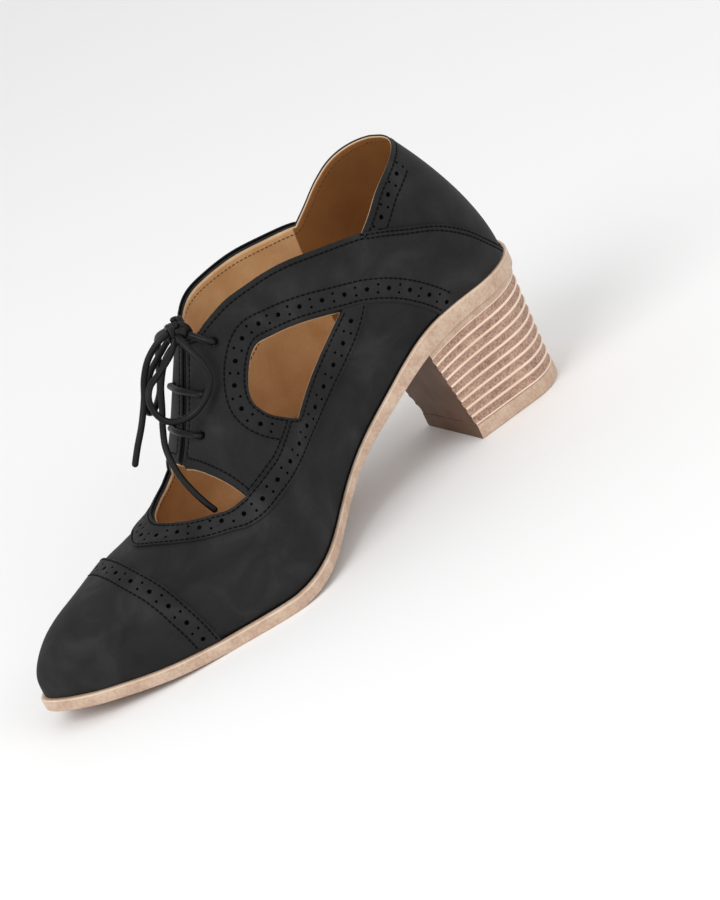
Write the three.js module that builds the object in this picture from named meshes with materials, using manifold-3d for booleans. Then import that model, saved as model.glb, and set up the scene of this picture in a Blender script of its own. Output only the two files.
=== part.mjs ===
// A woman's right lace-up shoe on a stacked block heel, with a window cut in each side.
// Lengths are millimetres. The toe points along -Y, the wearer's left is +X, and the floor is z = 0.

import * as THREE from 'three';
import { mergeVertices } from 'three/addons/utils/BufferGeometryUtils.js';
import Module from 'manifold-3d';

const wasm = await Module();
wasm.setup();

// Driving dimensions
const LENGTH = 242; // outsole, heel to toe
const BALL_WIDTH = 85; // outsole, at its widest
const HEEL_HEIGHT = 50; // floor to the underside of the outsole at the back
const TOE_SPRING = 9; // rise of the outsole's underside at the toe tip
const INSTEP_HEIGHT = 100; // tallest section of the last above its feather edge
const SOLE_THICKNESS = 5; // outsole at the ball
const BACK_LEAN = 24; // forward lean of the back seam
const BACK_HEIGHT = 60; // height over which the back seam leans that far
const WALL = 1.8; // upper leather with its lining
const OVERLAY = 0.8; // leather laid over the upper
const INSOLE_THICKNESS = 3;
const INSOLE_CLEARANCE = 0.7; // insole inside the upper
const WELT_HEEL = 1; // outsole standing out past the upper at the heel
const WELT_TOE = 2; // the same at the toe
const WELT_BLEND = 12; // length over which one grows into the other
const HEEL_ROUND = 28; // length of the rounded back end
const TOE_ROUND = 16; // length of the rounded toe end
const TOE_DROP = 26; // length over which the ridge falls to the toe tip
const TOE_WALL = 5; // upright height of the toe tip above the feather edge
const SOLE_BEVEL = 1; // broken edge of the outsole
const GAP = 0.3; // clearance between neighbouring pieces

// Heel block and top piece
const HEEL_LENGTH = 57; // along the outsole, back to breast
const HEEL_FOOT_LENGTH = 49; // the same on the floor
const HEEL_FOOT_WIDTH = 38;
const TOP_PIECE = 6; // thickness of the piece that meets the floor
const TOP_PIECE_BEVEL = 0.8;
const HEEL_INSET = 0.8; // heel block inside the outsole's outline
const HEEL_BAND = 3; // plain band under the outsole
const RIBS = 9;
const RIB_DEPTH = 0.9;

// Openings and laces
const SLIT_WIDTH = 3.6; // between the two lacing flaps
const SLIT_OFFSET = -1.8; // slit centre, towards the lateral side
const LACE = 2.4; // lace diameter
const EYELET = 3.3; // eyelet hole diameter
const FLAP_CORNER = 6; // length over which the topline rises clear of the flaps
const KNOT = { across: 13, tall: 10, deep: 7.4 };

// Mesh fineness
const SECTIONS = 30;
const ARCH_STEPS = 8;
const SOLE_SECTIONS = 48;
const HEEL_STEPS = 9;
const LACE_SIDES = 8;
const OUTLINE_STEPS = 16;
const REACH = 90; // half length of a cutter, past either side of the shoe

const halfBall = BALL_WIDTH / 2;

// The last, one row for each section from heel to toe, in shares of the size that each follows:
// along: LENGTH; axis, medial, lateral and bulge: half BALL_WIDTH; heelRise: HEEL_HEIGHT;
// toeRise: TOE_SPRING; sole: SOLE_THICKNESS; ridge: INSTEP_HEIGHT; fullness is the arch's exponent.
const LAST = [
  { along: 0.000, axis: 0.000, medial: 0.612, lateral: 0.612, heelRise: 1.000, toeRise: 0.00,
    sole: 1.30, ridge: 0.805, fullness: 2.60, bulge: 0.047 },
  { along: 0.124, axis: 0.000, medial: 0.600, lateral: 0.624, heelRise: 0.960, toeRise: 0.00,
    sole: 1.40, ridge: 0.830, fullness: 2.60, bulge: 0.059 },
  { along: 0.236, axis: 0.000, medial: 0.576, lateral: 0.659, heelRise: 0.860, toeRise: 0.00,
    sole: 1.52, ridge: 0.864, fullness: 2.50, bulge: 0.047 },
  { along: 0.322, axis: 0.000, medial: 0.506, lateral: 0.706, heelRise: 0.650, toeRise: 0.00,
    sole: 1.20, ridge: 0.945, fullness: 2.40, bulge: 0.047 },
  { along: 0.393, axis: 0.000, medial: 0.459, lateral: 0.753, heelRise: 0.450, toeRise: 0.00,
    sole: 0.96, ridge: 0.997, fullness: 2.20, bulge: 0.059 },
  { along: 0.475, axis: 0.000, medial: 0.612, lateral: 0.847, heelRise: 0.220, toeRise: 0.00,
    sole: 0.92, ridge: 0.974, fullness: 2.05, bulge: 0.071 },
  { along: 0.537, axis: 0.000, medial: 0.847, lateral: 0.941, heelRise: 0.096, toeRise: 0.00,
    sole: 0.96, ridge: 0.824, fullness: 2.00, bulge: 0.059 },
  { along: 0.607, axis: 0.000, medial: 1.000, lateral: 1.000, heelRise: 0.016, toeRise: 0.00,
    sole: 1.00, ridge: 0.561, fullness: 1.95, bulge: 0.035 },
  { along: 0.682, axis: 0.007, medial: 0.948, lateral: 0.979, heelRise: -0.010, toeRise: 0.00,
    sole: 1.00, ridge: 0.390, fullness: 2.00, bulge: 0.024 },
  { along: 0.764, axis: 0.031, medial: 0.807, lateral: 0.885, heelRise: 0.000, toeRise: 0.02,
    sole: 1.00, ridge: 0.344, fullness: 2.20, bulge: 0.035 },
  { along: 0.847, axis: 0.078, medial: 0.647, lateral: 0.713, heelRise: 0.000, toeRise: 0.24,
    sole: 1.00, ridge: 0.289, fullness: 2.20, bulge: 0.035 },
  { along: 0.930, axis: 0.118, medial: 0.412, lateral: 0.466, heelRise: 0.000, toeRise: 0.60,
    sole: 1.00, ridge: 0.227, fullness: 2.20, bulge: 0.035 },
  { along: 1.000, axis: 0.141, medial: 0.235, lateral: 0.224, heelRise: 0.000, toeRise: 1.00,
    sole: 1.00, ridge: 0.171, fullness: 2.30, bulge: 0.035 },
];

// Pattern lines seen from the side: along is a share of LENGTH, rise of INSTEP_HEIGHT, above the feather edge
const WINDOW = [
  [0.328, 0.390], [0.334, 0.404], [0.380, 0.508], [0.438, 0.625], [0.475, 0.684],
  [0.512, 0.653], [0.529, 0.588], [0.521, 0.521], [0.500, 0.451], [0.483, 0.400],
  [0.476, 0.383], [0.466, 0.382], [0.401, 0.380], [0.338, 0.388],
];
const TOPLINE_BACK = [
  [0.000, 0.612], [0.083, 0.615], [0.107, 0.613], [0.149, 0.588], [0.190, 0.544], [0.223, 0.498], [0.248, 0.477],
];
const TOPLINE_FRONT = [
  [0.248, 0.477], [0.264, 0.507], [0.310, 0.595], [0.372, 0.714], [0.430, 0.803], [0.479, 0.859],
  [0.512, 0.858], [0.533, 0.831],
];
const FACING_LINE = [
  [0.674, 0.296], [0.655, 0.290], [0.624, 0.289], [0.600, 0.295], [0.575, 0.305], [0.492, 0.293], [0.421, 0.261],
  [0.343, 0.258], [0.298, 0.295], [0.268, 0.387], [0.256, 0.485],
];
const QUARTER_LOW = [
  [0.178, -0.060], [0.190, 0.004], [0.215, 0.087], [0.248, 0.187], [0.293, 0.309], [0.343, 0.438],
];
const QUARTER_FRONT = [[0.488, 0.424], [0.550, 0.404], [0.612, 0.374], [0.740, 0.383]];
const COLLAR_SEAM = [
  [0.246, 0.472], [0.219, 0.420], [0.182, 0.361], [0.132, 0.291], [0.091, 0.206], [0.058, 0.112],
  [0.033, 0.039], [0.008, -0.044],
];

// Pattern lines seen from above: along is a share of LENGTH, across of the section's own half width
const THROAT_FRONT = [
  [0.612, 0.704], [0.640, 0.611], [0.661, 0.502], [0.690, 0.318], [0.707, 0.117], [0.711, 0],
];
const FLAP_FRONT = [[0.632, 0], [0.624, 0.351], [0.616, 0.586], [0.612, 0.704]];
const FACING_FRONT = [
  [0.650, 0.700], [0.657, 0.691], [0.686, 0.591], [0.715, 0.458], [0.740, 0.280], [0.760, 0],
];
const CAP_LINE = [
  [0.754, 1.500], [0.764, 0.960], [0.773, 0.877], [0.781, 0.676], [0.791, 0.375], [0.793, 0],
];
const EYELETS = [[0.521, 0.389], [0.566, 0.290], [0.599, 0.237]];

// Lace routes: x from the shoe's middle, s along the outsole from the heel, z above the floor
const LOOP_MEDIAL = [
  [4, 134, 98], [5, 139, 93.5], [6, 147, 90], [7, 153, 88], [8, 156, 84.5], [8, 156, 78.5], [9, 154, 74.5],
  [11, 150.5, 72.8], [13.5, 145.5, 73], [16.5, 140, 76.5], [18, 136, 82], [16.5, 135.5, 89], [11.5, 136, 95.5],
  [6, 134.5, 99],
];
const LOOP_LATERAL = [
  [-1, 133, 97], [-5, 138.5, 92], [-9, 144, 86.5], [-13, 148, 79], [-17, 149, 71], [-21, 145, 69], [-24, 139, 72],
  [-23, 135.5, 80], [-18, 134, 89], [-10, 135, 95.5], [-1, 134, 99],
];
const END_FREE = [
  [3, 135, 99.5], [1, 140, 98], [-2, 145.5, 93.5], [-4, 149.5, 87.5], [-5, 152.5, 81], [-5, 155.5, 76.5],
  [-5, 158.5, 72.5], [-6, 163, 66.5], [-7, 167, 60.5],
];
const END_TUCKED = [
  [3, 134.5, 95], [1.5, 140.5, 91.5], [0, 146, 84], [0, 150, 76], [0, 153.5, 69], [1, 156, 63.5],
  [3.5, 157.5, 58.5], [6, 158, 53], [9.5, 157.5, 47], [12.5, 156.5, 42], [15, 155, 37.5],
];
const KNOT_CENTRE = [4, 133, 98.5];

// Natural cubic spline through a named column of the section table
function columnSpline(name) {
  const xs = LAST.map((row) => row.along);
  const ys = LAST.map((row) => row[name]);
  const last = xs.length - 1;
  const bend = new Array(xs.length).fill(0);
  const work = new Array(xs.length).fill(0);
  for (let i = 1; i < last; i += 1) {
    const share = (xs[i] - xs[i - 1]) / (xs[i + 1] - xs[i - 1]);
    const pivot = share * bend[i - 1] + 2;
    const right = (ys[i + 1] - ys[i]) / (xs[i + 1] - xs[i]);
    const left = (ys[i] - ys[i - 1]) / (xs[i] - xs[i - 1]);
    bend[i] = (share - 1) / pivot;
    work[i] = (6 * (right - left) / (xs[i + 1] - xs[i - 1]) - share * work[i - 1]) / pivot;
  }
  bend[last] = 0;
  for (let i = last - 1; i >= 0; i -= 1) bend[i] = bend[i] * bend[i + 1] + work[i];
  return (s) => {
    const x = THREE.MathUtils.clamp(s / LENGTH, 0, 1);
    let i = 0;
    while (i < last - 1 && x > xs[i + 1]) i += 1;
    const step = xs[i + 1] - xs[i];
    const a = (xs[i + 1] - x) / step;
    const b = (x - xs[i]) / step;
    const curve = ((a ** 3 - a) * bend[i] + (b ** 3 - b) * bend[i + 1]) * step * step / 6;
    return a * ys[i] + b * ys[i + 1] + curve;
  };
}

const column = {};
for (const name of Object.keys(LAST[0]).slice(1)) column[name] = columnSpline(name);

// Heights and widths of the sole and the last at a distance s from the heel
const soleBottom = (s) => Math.max(0, HEEL_HEIGHT * column.heelRise(s) + TOE_SPRING * column.toeRise(s));
const feather = (s) => soleBottom(s) + SOLE_THICKNESS * column.sole(s);
const axis = (s) => halfBall * column.axis(s);
const halfWidth = (s, side) => halfBall * (side > 0 ? column.medial(s) : column.lateral(s));
const place = (x, s, z) => new THREE.Vector3(x, LENGTH / 2 - s, z);

// Share of the full width left by the round ends of an outline that is inset all round
function endShare(s, start, end, inset) {
  const back = THREE.MathUtils.clamp((s - start) / (HEEL_ROUND - inset), 0, 1);
  const toe = THREE.MathUtils.clamp((end - s) / (TOE_ROUND - inset), 0, 1);
  return Math.sqrt(1 - (1 - back) ** 2) * Math.sqrt(1 - (1 - toe) ** 2);
}

const welt = (s) => WELT_HEEL + (WELT_TOE - WELT_HEEL) / (1 + Math.exp((0.52 * LENGTH - s) / WELT_BLEND));

// A point of the last, pushed inwards by inset; arch runs from 0 at the feather edge to a quarter turn
function lastPoint(s, arch, side, inset) {
  const start = WELT_HEEL + inset;
  const end = LENGTH - WELT_TOE - inset;
  const ends = endShare(s, start, end, inset);
  const width = (halfWidth(s, side) - welt(s) - inset) * ends;
  const slope = INSTEP_HEIGHT * (column.ridge(s + 1) - column.ridge(s - 1)) / 2;
  const dropShare = THREE.MathUtils.clamp((end - s) / TOE_DROP, 0, 1);
  const round = Math.sqrt(1 - (1 - dropShare) ** 2.2);
  const crown = INSTEP_HEIGHT * column.ridge(s) - TOE_WALL - inset * Math.hypot(1, slope);
  const height = TOE_WALL + crown * round;
  const power = 2 / column.fullness(s);
  const up = Math.sin(arch) ** power;
  const out = Math.max(0, Math.cos(arch)) ** power;
  const bulge = halfBall * column.bulge(s) * ends * 6.75 * up * (1 - up) ** 2;
  const rise = height * up;
  const lean = BACK_LEAN * (rise / BACK_HEIGHT) ** 1.6 * Math.max(0, 1 - s / (0.475 * LENGTH)) ** 1.5;
  return place(axis(s) + side * (width * out + bulge), s + lean, feather(s) + rise);
}

// Distances along the shoe, closer together at both ends
function stations(start, end, count) {
  return Array.from({ length: count + 1 }, (_, i) => start + (end - start) * (1 - Math.cos(Math.PI * i / count)) / 2);
}

// Closed mesh through rings of equal length; the two end rings are closed by strips unless they are flat lines
function loft(rings, capped) {
  const count = rings[0].length;
  const positions = rings.flat().flatMap((point) => point.toArray());
  const index = [];
  for (let r = 0; r < rings.length - 1; r += 1) {
    for (let i = 0; i < count; i += 1) {
      const j = (i + 1) % count;
      const a = r * count;
      const b = a + count;
      index.push(a + i, a + j, b + j, a + i, b + j, b + i);
    }
  }
  if (capped) {
    const top = (rings.length - 1) * count;
    for (let i = 0; i < count / 2 - 1; i += 1) {
      const j = count - 1 - i;
      index.push(i, j - 1, i + 1, i, j, j - 1);
      index.push(top + i, top + i + 1, top + j - 1, top + i, top + j - 1, top + j);
    }
  }
  const geometry = new THREE.BufferGeometry();
  geometry.setAttribute('position', new THREE.Float32BufferAttribute(positions, 3));
  geometry.setIndex(index);
  return geometry;
}

// Solid of a closed geometry, with shared vertices merged and empty triangles dropped
function solid(geometry) {
  const bare = geometry.clone();
  for (const name of Object.keys(bare.attributes)) if (name !== 'position') bare.deleteAttribute(name);
  const merged = mergeVertices(bare, 1e-4);
  const all = Array.from(merged.index.array);
  const kept = [];
  for (let i = 0; i < all.length; i += 3) {
    const [a, b, c] = all.slice(i, i + 3);
    if (a !== b && b !== c && c !== a) kept.push(a, b, c);
  }
  const mesh = new wasm.Mesh({
    numProp: 3,
    vertProperties: new Float32Array(merged.attributes.position.array),
    triVerts: new Uint32Array(kept),
  });
  return new wasm.Manifold(mesh);
}

// Geometry of a solid
function shape(body) {
  const mesh = body.getMesh();
  const geometry = new THREE.BufferGeometry();
  geometry.setAttribute('position', new THREE.BufferAttribute(new Float32Array(mesh.vertProperties), 3));
  geometry.setIndex(new THREE.BufferAttribute(new Uint32Array(mesh.triVerts), 1));
  return geometry;
}

const unite = (bodies) => bodies.reduce((sum, body) => sum.add(body));
const cut = (body, cutters) => cutters.reduce((rest, cutter) => rest.subtract(cutter), body);

// Solid form of the last at an inset, reaching down past the feather edge by drop
function form(inset, drop) {
  const rings = stations(WELT_HEEL + inset, LENGTH - WELT_TOE - inset, SECTIONS).map((s) => {
    const arch = (side) => {
      const half = Array.from({ length: ARCH_STEPS }, (_, i) => (
        lastPoint(s, Math.PI / 2 * i / ARCH_STEPS, side, inset)));
      const foot = half[0].clone();
      foot.z -= drop;
      return [foot, ...half];
    };
    return [...arch(1), lastPoint(s, Math.PI / 2, 1, inset), ...arch(-1).reverse()];
  });
  return solid(loft(rings, false));
}

// Solid between the outline of the sole and two heights, with its edges broken
function slab(start, end, count, outline, low, high, bevel) {
  const rings = stations(start, end, count).map((s) => {
    const edge = (side) => {
      const width = outline(s, side);
      const narrow = Math.max(0, width - bevel);
      return [[narrow, low(s)], [width, low(s) + bevel], [width, high(s) - bevel], [narrow, high(s)]]
        .map(([w, z]) => place(axis(s) + side * w, s, z));
    };
    return [...edge(1), ...edge(-1).reverse()];
  });
  return solid(loft(rings, false));
}

// Smooth line through chosen points
function smooth(points, closed = false) {
  const curve = new THREE.CatmullRomCurve3(points.map(([a, b]) => new THREE.Vector3(a, b, 0)), closed, 'centripetal');
  const line = curve.getPoints(OUTLINE_STEPS).map((point) => [point.x, point.y]);
  return closed ? line.slice(0, -1) : line;
}

// Pattern points as distances: side view gives [s, z], plan view gives [s, x]
const seenFromSide = ([along, rise]) => [along * LENGTH, feather(along * LENGTH) + rise * INSTEP_HEIGHT];
const seenFromAbove = (side) => ([along, across]) => {
  const s = along * LENGTH;
  return [s, axis(s) + side * across * halfWidth(s, side)];
};

// Both sides of a plan line as one line, from medial to lateral; each half ends at the axis
function bothSides(line) {
  const medial = smooth(line.map(seenFromAbove(1)));
  const lateral = smooth(line.map(seenFromAbove(-1)));
  return [...medial, ...lateral.reverse().slice(1)];
}

function prism(outline, basis) {
  const flat = new THREE.Shape(outline.map(([a, b]) => new THREE.Vector2(a, b)));
  const geometry = new THREE.ExtrudeGeometry(flat, { depth: 2 * REACH, bevelEnabled: false });
  geometry.translate(0, 0, -REACH);
  return solid(geometry.applyMatrix4(basis));
}

// Cutter right across the shoe from an outline of [s, z]
function prismAcross(outline) {
  const basis = new THREE.Matrix4().makeBasis(
    new THREE.Vector3(0, 1, 0), new THREE.Vector3(0, 0, 1), new THREE.Vector3(1, 0, 0));
  return prism(outline.map(([s, z]) => [LENGTH / 2 - s, z]), basis);
}

// Cutter right down through the shoe from an outline of [s, x]
function prismDown(outline) {
  return prism(outline.map(([s, x]) => [x, LENGTH / 2 - s]), new THREE.Matrix4());
}

// Cutters for the openings
const ceiling = HEEL_HEIGHT + 2 * INSTEP_HEIGHT;
const back = -LENGTH / 4;

function toplineCutter() {
  const rear = smooth(TOPLINE_BACK.map(seenFromSide));
  const front = smooth(TOPLINE_FRONT.map(seenFromSide));
  const tip = front[front.length - 1];
  return prismAcross([[back, rear[0][1]], ...rear, ...front.slice(1), [tip[0] + FLAP_CORNER, ceiling], [back, ceiling]]);
}

function throatCutter() {
  const frontLine = bothSides(THROAT_FRONT);
  const flapLine = bothSides([...FLAP_FRONT].reverse());
  return prismDown([...frontLine, ...flapLine.reverse().slice(1, -1)]);
}

function slitCutter() {
  const [s] = seenFromSide(TOPLINE_FRONT[3]);
  const end = (FLAP_FRONT[0][0] + THROAT_FRONT[5][0]) / 2 * LENGTH;
  const edges = [SLIT_OFFSET - SLIT_WIDTH / 2, SLIT_OFFSET + SLIT_WIDTH / 2];
  return prismDown([[s, edges[0]], [end, edges[0]], [end, edges[1]], [s, edges[1]]]);
}

// Point on the outer skin of the flaps, with the direction that faces out there
function skinAt(s, x) {
  const side = x > axis(s) ? 1 : -1;
  const width = halfWidth(s, side) - welt(s);
  const share = THREE.MathUtils.clamp(Math.abs(x - axis(s)) / width, 0, 1);
  const arch = Math.acos(share ** (column.fullness(s) / 2));
  const point = lastPoint(s, arch, side, 0);
  const step = 0.5;
  const ahead = lastPoint(s + step, arch, side, 0).sub(point);
  const below = lastPoint(s, arch - step / 30, side, 0).sub(point);
  const normal = ahead.cross(below).normalize();
  if (normal.z < 0) normal.negate();
  return { point, normal };
}

function eyeletSpots(side) {
  return EYELETS.map((spot) => skinAt(...seenFromAbove(side)(spot)));
}

function eyeletCutter({ point, normal }) {
  const hole = new THREE.CylinderGeometry(EYELET / 2, EYELET / 2, 8 * WALL, 10);
  hole.applyQuaternion(new THREE.Quaternion().setFromUnitVectors(new THREE.Vector3(0, 1, 0), normal));
  hole.translate(point.x, point.y, point.z);
  return solid(hole);
}

// Regions covered by the overlays; clear is the room that a neighbour leaves around one
function quarterRegion(clear) {
  const seam = smooth(COLLAR_SEAM.map(seenFromSide)).reverse();
  const low = smooth(QUARTER_LOW.map(seenFromSide)).map(([s, z]) => [s + clear, z - clear]);
  const front = QUARTER_FRONT.map(seenFromSide).map(([s, z]) => [s, z - clear]);
  return prismAcross([...seam, [seam[seam.length - 1][0], ceiling], [front[3][0], ceiling],
    ...front.reverse(), ...low.reverse()]);
}

function facingRegion() {
  const front = prismDown(bothSides(FACING_FRONT));
  const low = smooth(FACING_LINE.map(seenFromSide));
  return front.add(prismAcross([...low, [low[low.length - 1][0], ceiling], [low[0][0], ceiling]]));
}

function capRegion() {
  const line = bothSides(CAP_LINE);
  return prismDown([...line, [1.2 * LENGTH, line[line.length - 1][1]], [1.2 * LENGTH, line[0][1]]]);
}

function halfSpace(side) {
  const far = 1.2 * LENGTH;
  const middle = SLIT_OFFSET;
  return prismDown([[back, middle], [far, middle], [far, side * REACH], [back, side * REACH]]);
}

// Heel block: outline at a share of its height, from the back round to the breast on both sides
function heelRing(share, swell, zAt) {
  const rearTop = HEEL_INSET + WELT_HEEL / 2;
  const rear = THREE.MathUtils.lerp(1, rearTop, share);
  const breast = THREE.MathUtils.lerp(HEEL_FOOT_LENGTH, HEEL_LENGTH, share);
  const half = (side) => Array.from({ length: HEEL_STEPS + 1 }, (_, i) => {
    const turn = 1 - Math.cos(Math.PI / 2 * i / HEEL_STEPS);
    const s = rear + (breast - rear) * turn;
    const topShape = (halfWidth(s, side) - HEEL_INSET) * endShare(s, rearTop, LENGTH, HEEL_INSET);
    const footRound = THREE.MathUtils.clamp(turn * (breast - rear) / (0.52 * HEEL_FOOT_WIDTH), 0, 1);
    const footShape = HEEL_FOOT_WIDTH / 2 * Math.sqrt(1 - (1 - footRound) ** 2);
    const width = THREE.MathUtils.lerp(footShape, topShape, share ** 1.2);
    const grown = i === 0 ? 0 : width + swell;
    return place(side * grown, i === 0 ? s - swell : s, zAt(s, share));
  });
  return [...half(-1), ...half(1).reverse()];
}

function heelBlock() {
  const low = TOP_PIECE + GAP;
  const zAt = (s, share) => THREE.MathUtils.lerp(low, soleBottom(s) - GAP, share);
  const bandShare = HEEL_BAND / HEEL_HEIGHT;
  const ribSpan = 1 - bandShare;
  const levels = [];
  for (let rib = 0; rib < RIBS; rib += 1) {
    for (const [step, depth] of [[0, 0], [0.26, 1], [0.74, 1]]) {
      levels.push([(rib + step) / RIBS * ribSpan, -depth * RIB_DEPTH]);
    }
  }
  levels.push([ribSpan, 0], [1, 0]);
  return solid(loft(levels.map(([share, swell]) => heelRing(share, swell, zAt)), true));
}

function topPiece() {
  const levels = [[0, -TOP_PIECE_BEVEL], [TOP_PIECE_BEVEL, 0], [TOP_PIECE, 0]];
  return solid(loft(levels.map(([z, swell]) => heelRing(0, swell, () => z)), true));
}

// Laces
function lacePath(points) {
  return new THREE.CatmullRomCurve3(points.map(([x, s, z]) => place(x, s, z)), false, 'centripetal');
}

function laceTube(points, steps, grow = 0) {
  const radius = LACE / 2 + grow;
  const ring = Array.from({ length: LACE_SIDES }, (_, i) => {
    const turn = 2 * Math.PI * i / LACE_SIDES;
    return new THREE.Vector2(radius * Math.cos(turn), radius * Math.sin(turn));
  });
  return new THREE.ExtrudeGeometry(new THREE.Shape(ring), { steps, extrudePath: lacePath(points) });
}

// Points of a strand that comes up through one spot, runs over the flaps and goes down through another
function strandOver(from, to, lift) {
  const at = ({ point, normal }, height) => point.clone().addScaledVector(normal, height);
  const middle = at(from, lift).add(at(to, lift)).multiplyScalar(0.5);
  const rise = from.normal.clone().add(to.normal).normalize();
  const crest = middle.addScaledVector(rise, lift);
  const near = at(from, lift).lerp(crest, 0.35);
  const far = at(to, lift).lerp(crest, 0.35);
  return [at(from, -3 * WALL), at(from, 0), at(from, 0.75 * lift), near, crest, far,
    at(to, 0.75 * lift), at(to, 0), at(to, -3 * WALL)].map((p) => [p.x, LENGTH / 2 - p.y, p.z]);
}

function knotBody(grow) {
  const knot = new THREE.SphereGeometry(1, 14, 9);
  knot.scale(KNOT.across / 2 + grow, KNOT.deep / 2 + grow, KNOT.tall / 2 + grow);
  knot.rotateX(-0.6);
  const centre = place(...KNOT_CENTRE);
  knot.translate(centre.x, centre.y, centre.z);
  return solid(knot);
}

// Strand from a top eyelet up to the knot
function knotStrand(spot, grow) {
  const at = (height) => spot.point.clone().addScaledVector(spot.normal, height);
  const centre = place(...KNOT_CENTRE);
  const points = [at(-3 * WALL), at(0), at(1.2 * LACE), at(1.5 * LACE).lerp(centre, 0.5), centre];
  return solid(laceTube(points.map((p) => [p.x, LENGTH / 2 - p.y, p.z]), 8, grow));
}

// Materials
const black = new THREE.MeshStandardMaterial({ color: 0x2e2e2f, roughness: 0.85, metalness: 0 });
const overlayBlack = new THREE.MeshStandardMaterial({ color: 0x333334, roughness: 0.85, metalness: 0 });
const laceBlack = new THREE.MeshStandardMaterial({ color: 0x121212, roughness: 0.75, metalness: 0 });
const stacked = new THREE.MeshStandardMaterial({ color: 0xcdb496, roughness: 0.55, metalness: 0 });
const tan = new THREE.MeshStandardMaterial({ color: 0xbe966e, roughness: 0.6, metalness: 0 });
const rubber = new THREE.MeshStandardMaterial({ color: 0xc4a98a, roughness: 0.7, metalness: 0 });

const group = new THREE.Group();
function add(name, geometry, material) {
  const mesh = new THREE.Mesh(geometry, material);
  mesh.name = name;
  group.add(mesh);
}

// Insets of the layers, from the outermost skin inwards
const overlayOuter = -OVERLAY / 4;
const overlayInner = overlayOuter + OVERLAY;
const upperOuter = overlayInner + GAP;
const upperInner = upperOuter + WALL;
const insoleInset = upperInner + INSOLE_CLEARANCE;

// Bottom: outsole, heel, top piece and insole
const soleOutline = (s, side) => halfWidth(s, side) * endShare(s, 0, LENGTH, 0);
add('outsole', shape(slab(0, LENGTH, SOLE_SECTIONS, soleOutline, soleBottom, (s) => feather(s) - GAP, SOLE_BEVEL)),
  stacked);
add('heel', shape(heelBlock()), stacked);
add('heel_top_piece', shape(topPiece()), rubber);
const insoleStart = WELT_HEEL + insoleInset;
const insoleEnd = LENGTH - WELT_TOE - insoleInset;
const insoleOutline = (s, side) => (halfWidth(s, side) - welt(s) - insoleInset)
  * endShare(s, insoleStart, insoleEnd, insoleInset);
add('insole', shape(slab(insoleStart, insoleEnd, SECTIONS, insoleOutline, feather,
  (s) => feather(s) + INSOLE_THICKNESS, 0.4)), tan);

// Upper: a hollow wall, open at the collar, throat, slit, windows, eyelets and underneath
const medialSpots = eyeletSpots(1);
const lateralSpots = eyeletSpots(-1);
const openings = [
  toplineCutter(), throatCutter(), slitCutter(), prismAcross(smooth(WINDOW.map(seenFromSide), true)),
  ...[...medialSpots, ...lateralSpots].map(eyeletCutter),
];
const upperSkin = form(upperOuter, 0);
add('upper', shape(cut(upperSkin, [form(upperInner, SOLE_THICKNESS), ...openings])), black);

// Overlays, cut from a thin layer around the upper
const layer = cut(form(overlayOuter, 0), [form(overlayInner, SOLE_THICKNESS), ...openings]);
const quarters = layer.intersect(quarterRegion(0));
add('toe_cap', shape(layer.intersect(capRegion())), overlayBlack);
add('vamp_facing', shape(layer.intersect(facingRegion()).subtract(quarterRegion(GAP))), overlayBlack);
add('quarter_medial', shape(quarters.intersect(halfSpace(1))), overlayBlack);
add('quarter_lateral', shape(quarters.intersect(halfSpace(-1))), overlayBlack);

// Laces: a bar through the lowest eyelets, one through the middle ones, and the tied bow
const [topMedial, midMedial, lowMedial] = medialSpots;
const [topLateral, midLateral, lowLateral] = lateralSpots;
add('lace_bottom_bar', laceTube(strandOver(lowMedial, lowLateral, LACE), 14), laceBlack);
add('lace_middle_bar', laceTube(strandOver(midMedial, midLateral, LACE), 14), laceBlack);
const knotWith = (grow) => unite([knotBody(grow), knotStrand(topMedial, grow), knotStrand(topLateral, grow)]);
const knotRoom = knotWith(GAP);
add('lace_knot', shape(knotWith(0)), laceBlack);
add('lace_loop_medial', shape(solid(laceTube(LOOP_MEDIAL, 20)).subtract(knotRoom)), laceBlack);
add('lace_loop_lateral', shape(solid(laceTube(LOOP_LATERAL, 20)).subtract(knotRoom)), laceBlack);
add('lace_end_free', shape(solid(laceTube(END_FREE, 12)).subtract(knotRoom)), laceBlack);
add('lace_end_tucked', shape(solid(laceTube(END_TUCKED, 16)).subtract(knotRoom)), laceBlack);

export default group;
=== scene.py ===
import math

import bmesh
import bpy
import numpy as np
from mathutils import Matrix, Vector
from mathutils.geometry import delaunay_2d_cdt
from mathutils.kdtree import KDTree


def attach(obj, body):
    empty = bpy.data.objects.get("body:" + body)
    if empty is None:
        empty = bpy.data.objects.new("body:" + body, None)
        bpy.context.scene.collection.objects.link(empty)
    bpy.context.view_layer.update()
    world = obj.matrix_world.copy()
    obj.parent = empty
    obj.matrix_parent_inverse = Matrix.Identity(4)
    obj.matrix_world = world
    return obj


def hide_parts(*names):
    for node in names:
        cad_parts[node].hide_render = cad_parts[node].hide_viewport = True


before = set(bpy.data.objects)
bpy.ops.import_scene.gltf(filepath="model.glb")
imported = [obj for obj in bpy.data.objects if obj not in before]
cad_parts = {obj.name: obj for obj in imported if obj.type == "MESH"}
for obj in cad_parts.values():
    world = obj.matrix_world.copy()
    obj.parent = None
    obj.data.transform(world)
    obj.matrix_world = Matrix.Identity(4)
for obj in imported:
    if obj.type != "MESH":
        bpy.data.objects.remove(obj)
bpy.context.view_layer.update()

# Pattern work is in millimetres, with y from the middle of the length; meshes are in metres
MM = 0.001

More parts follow.
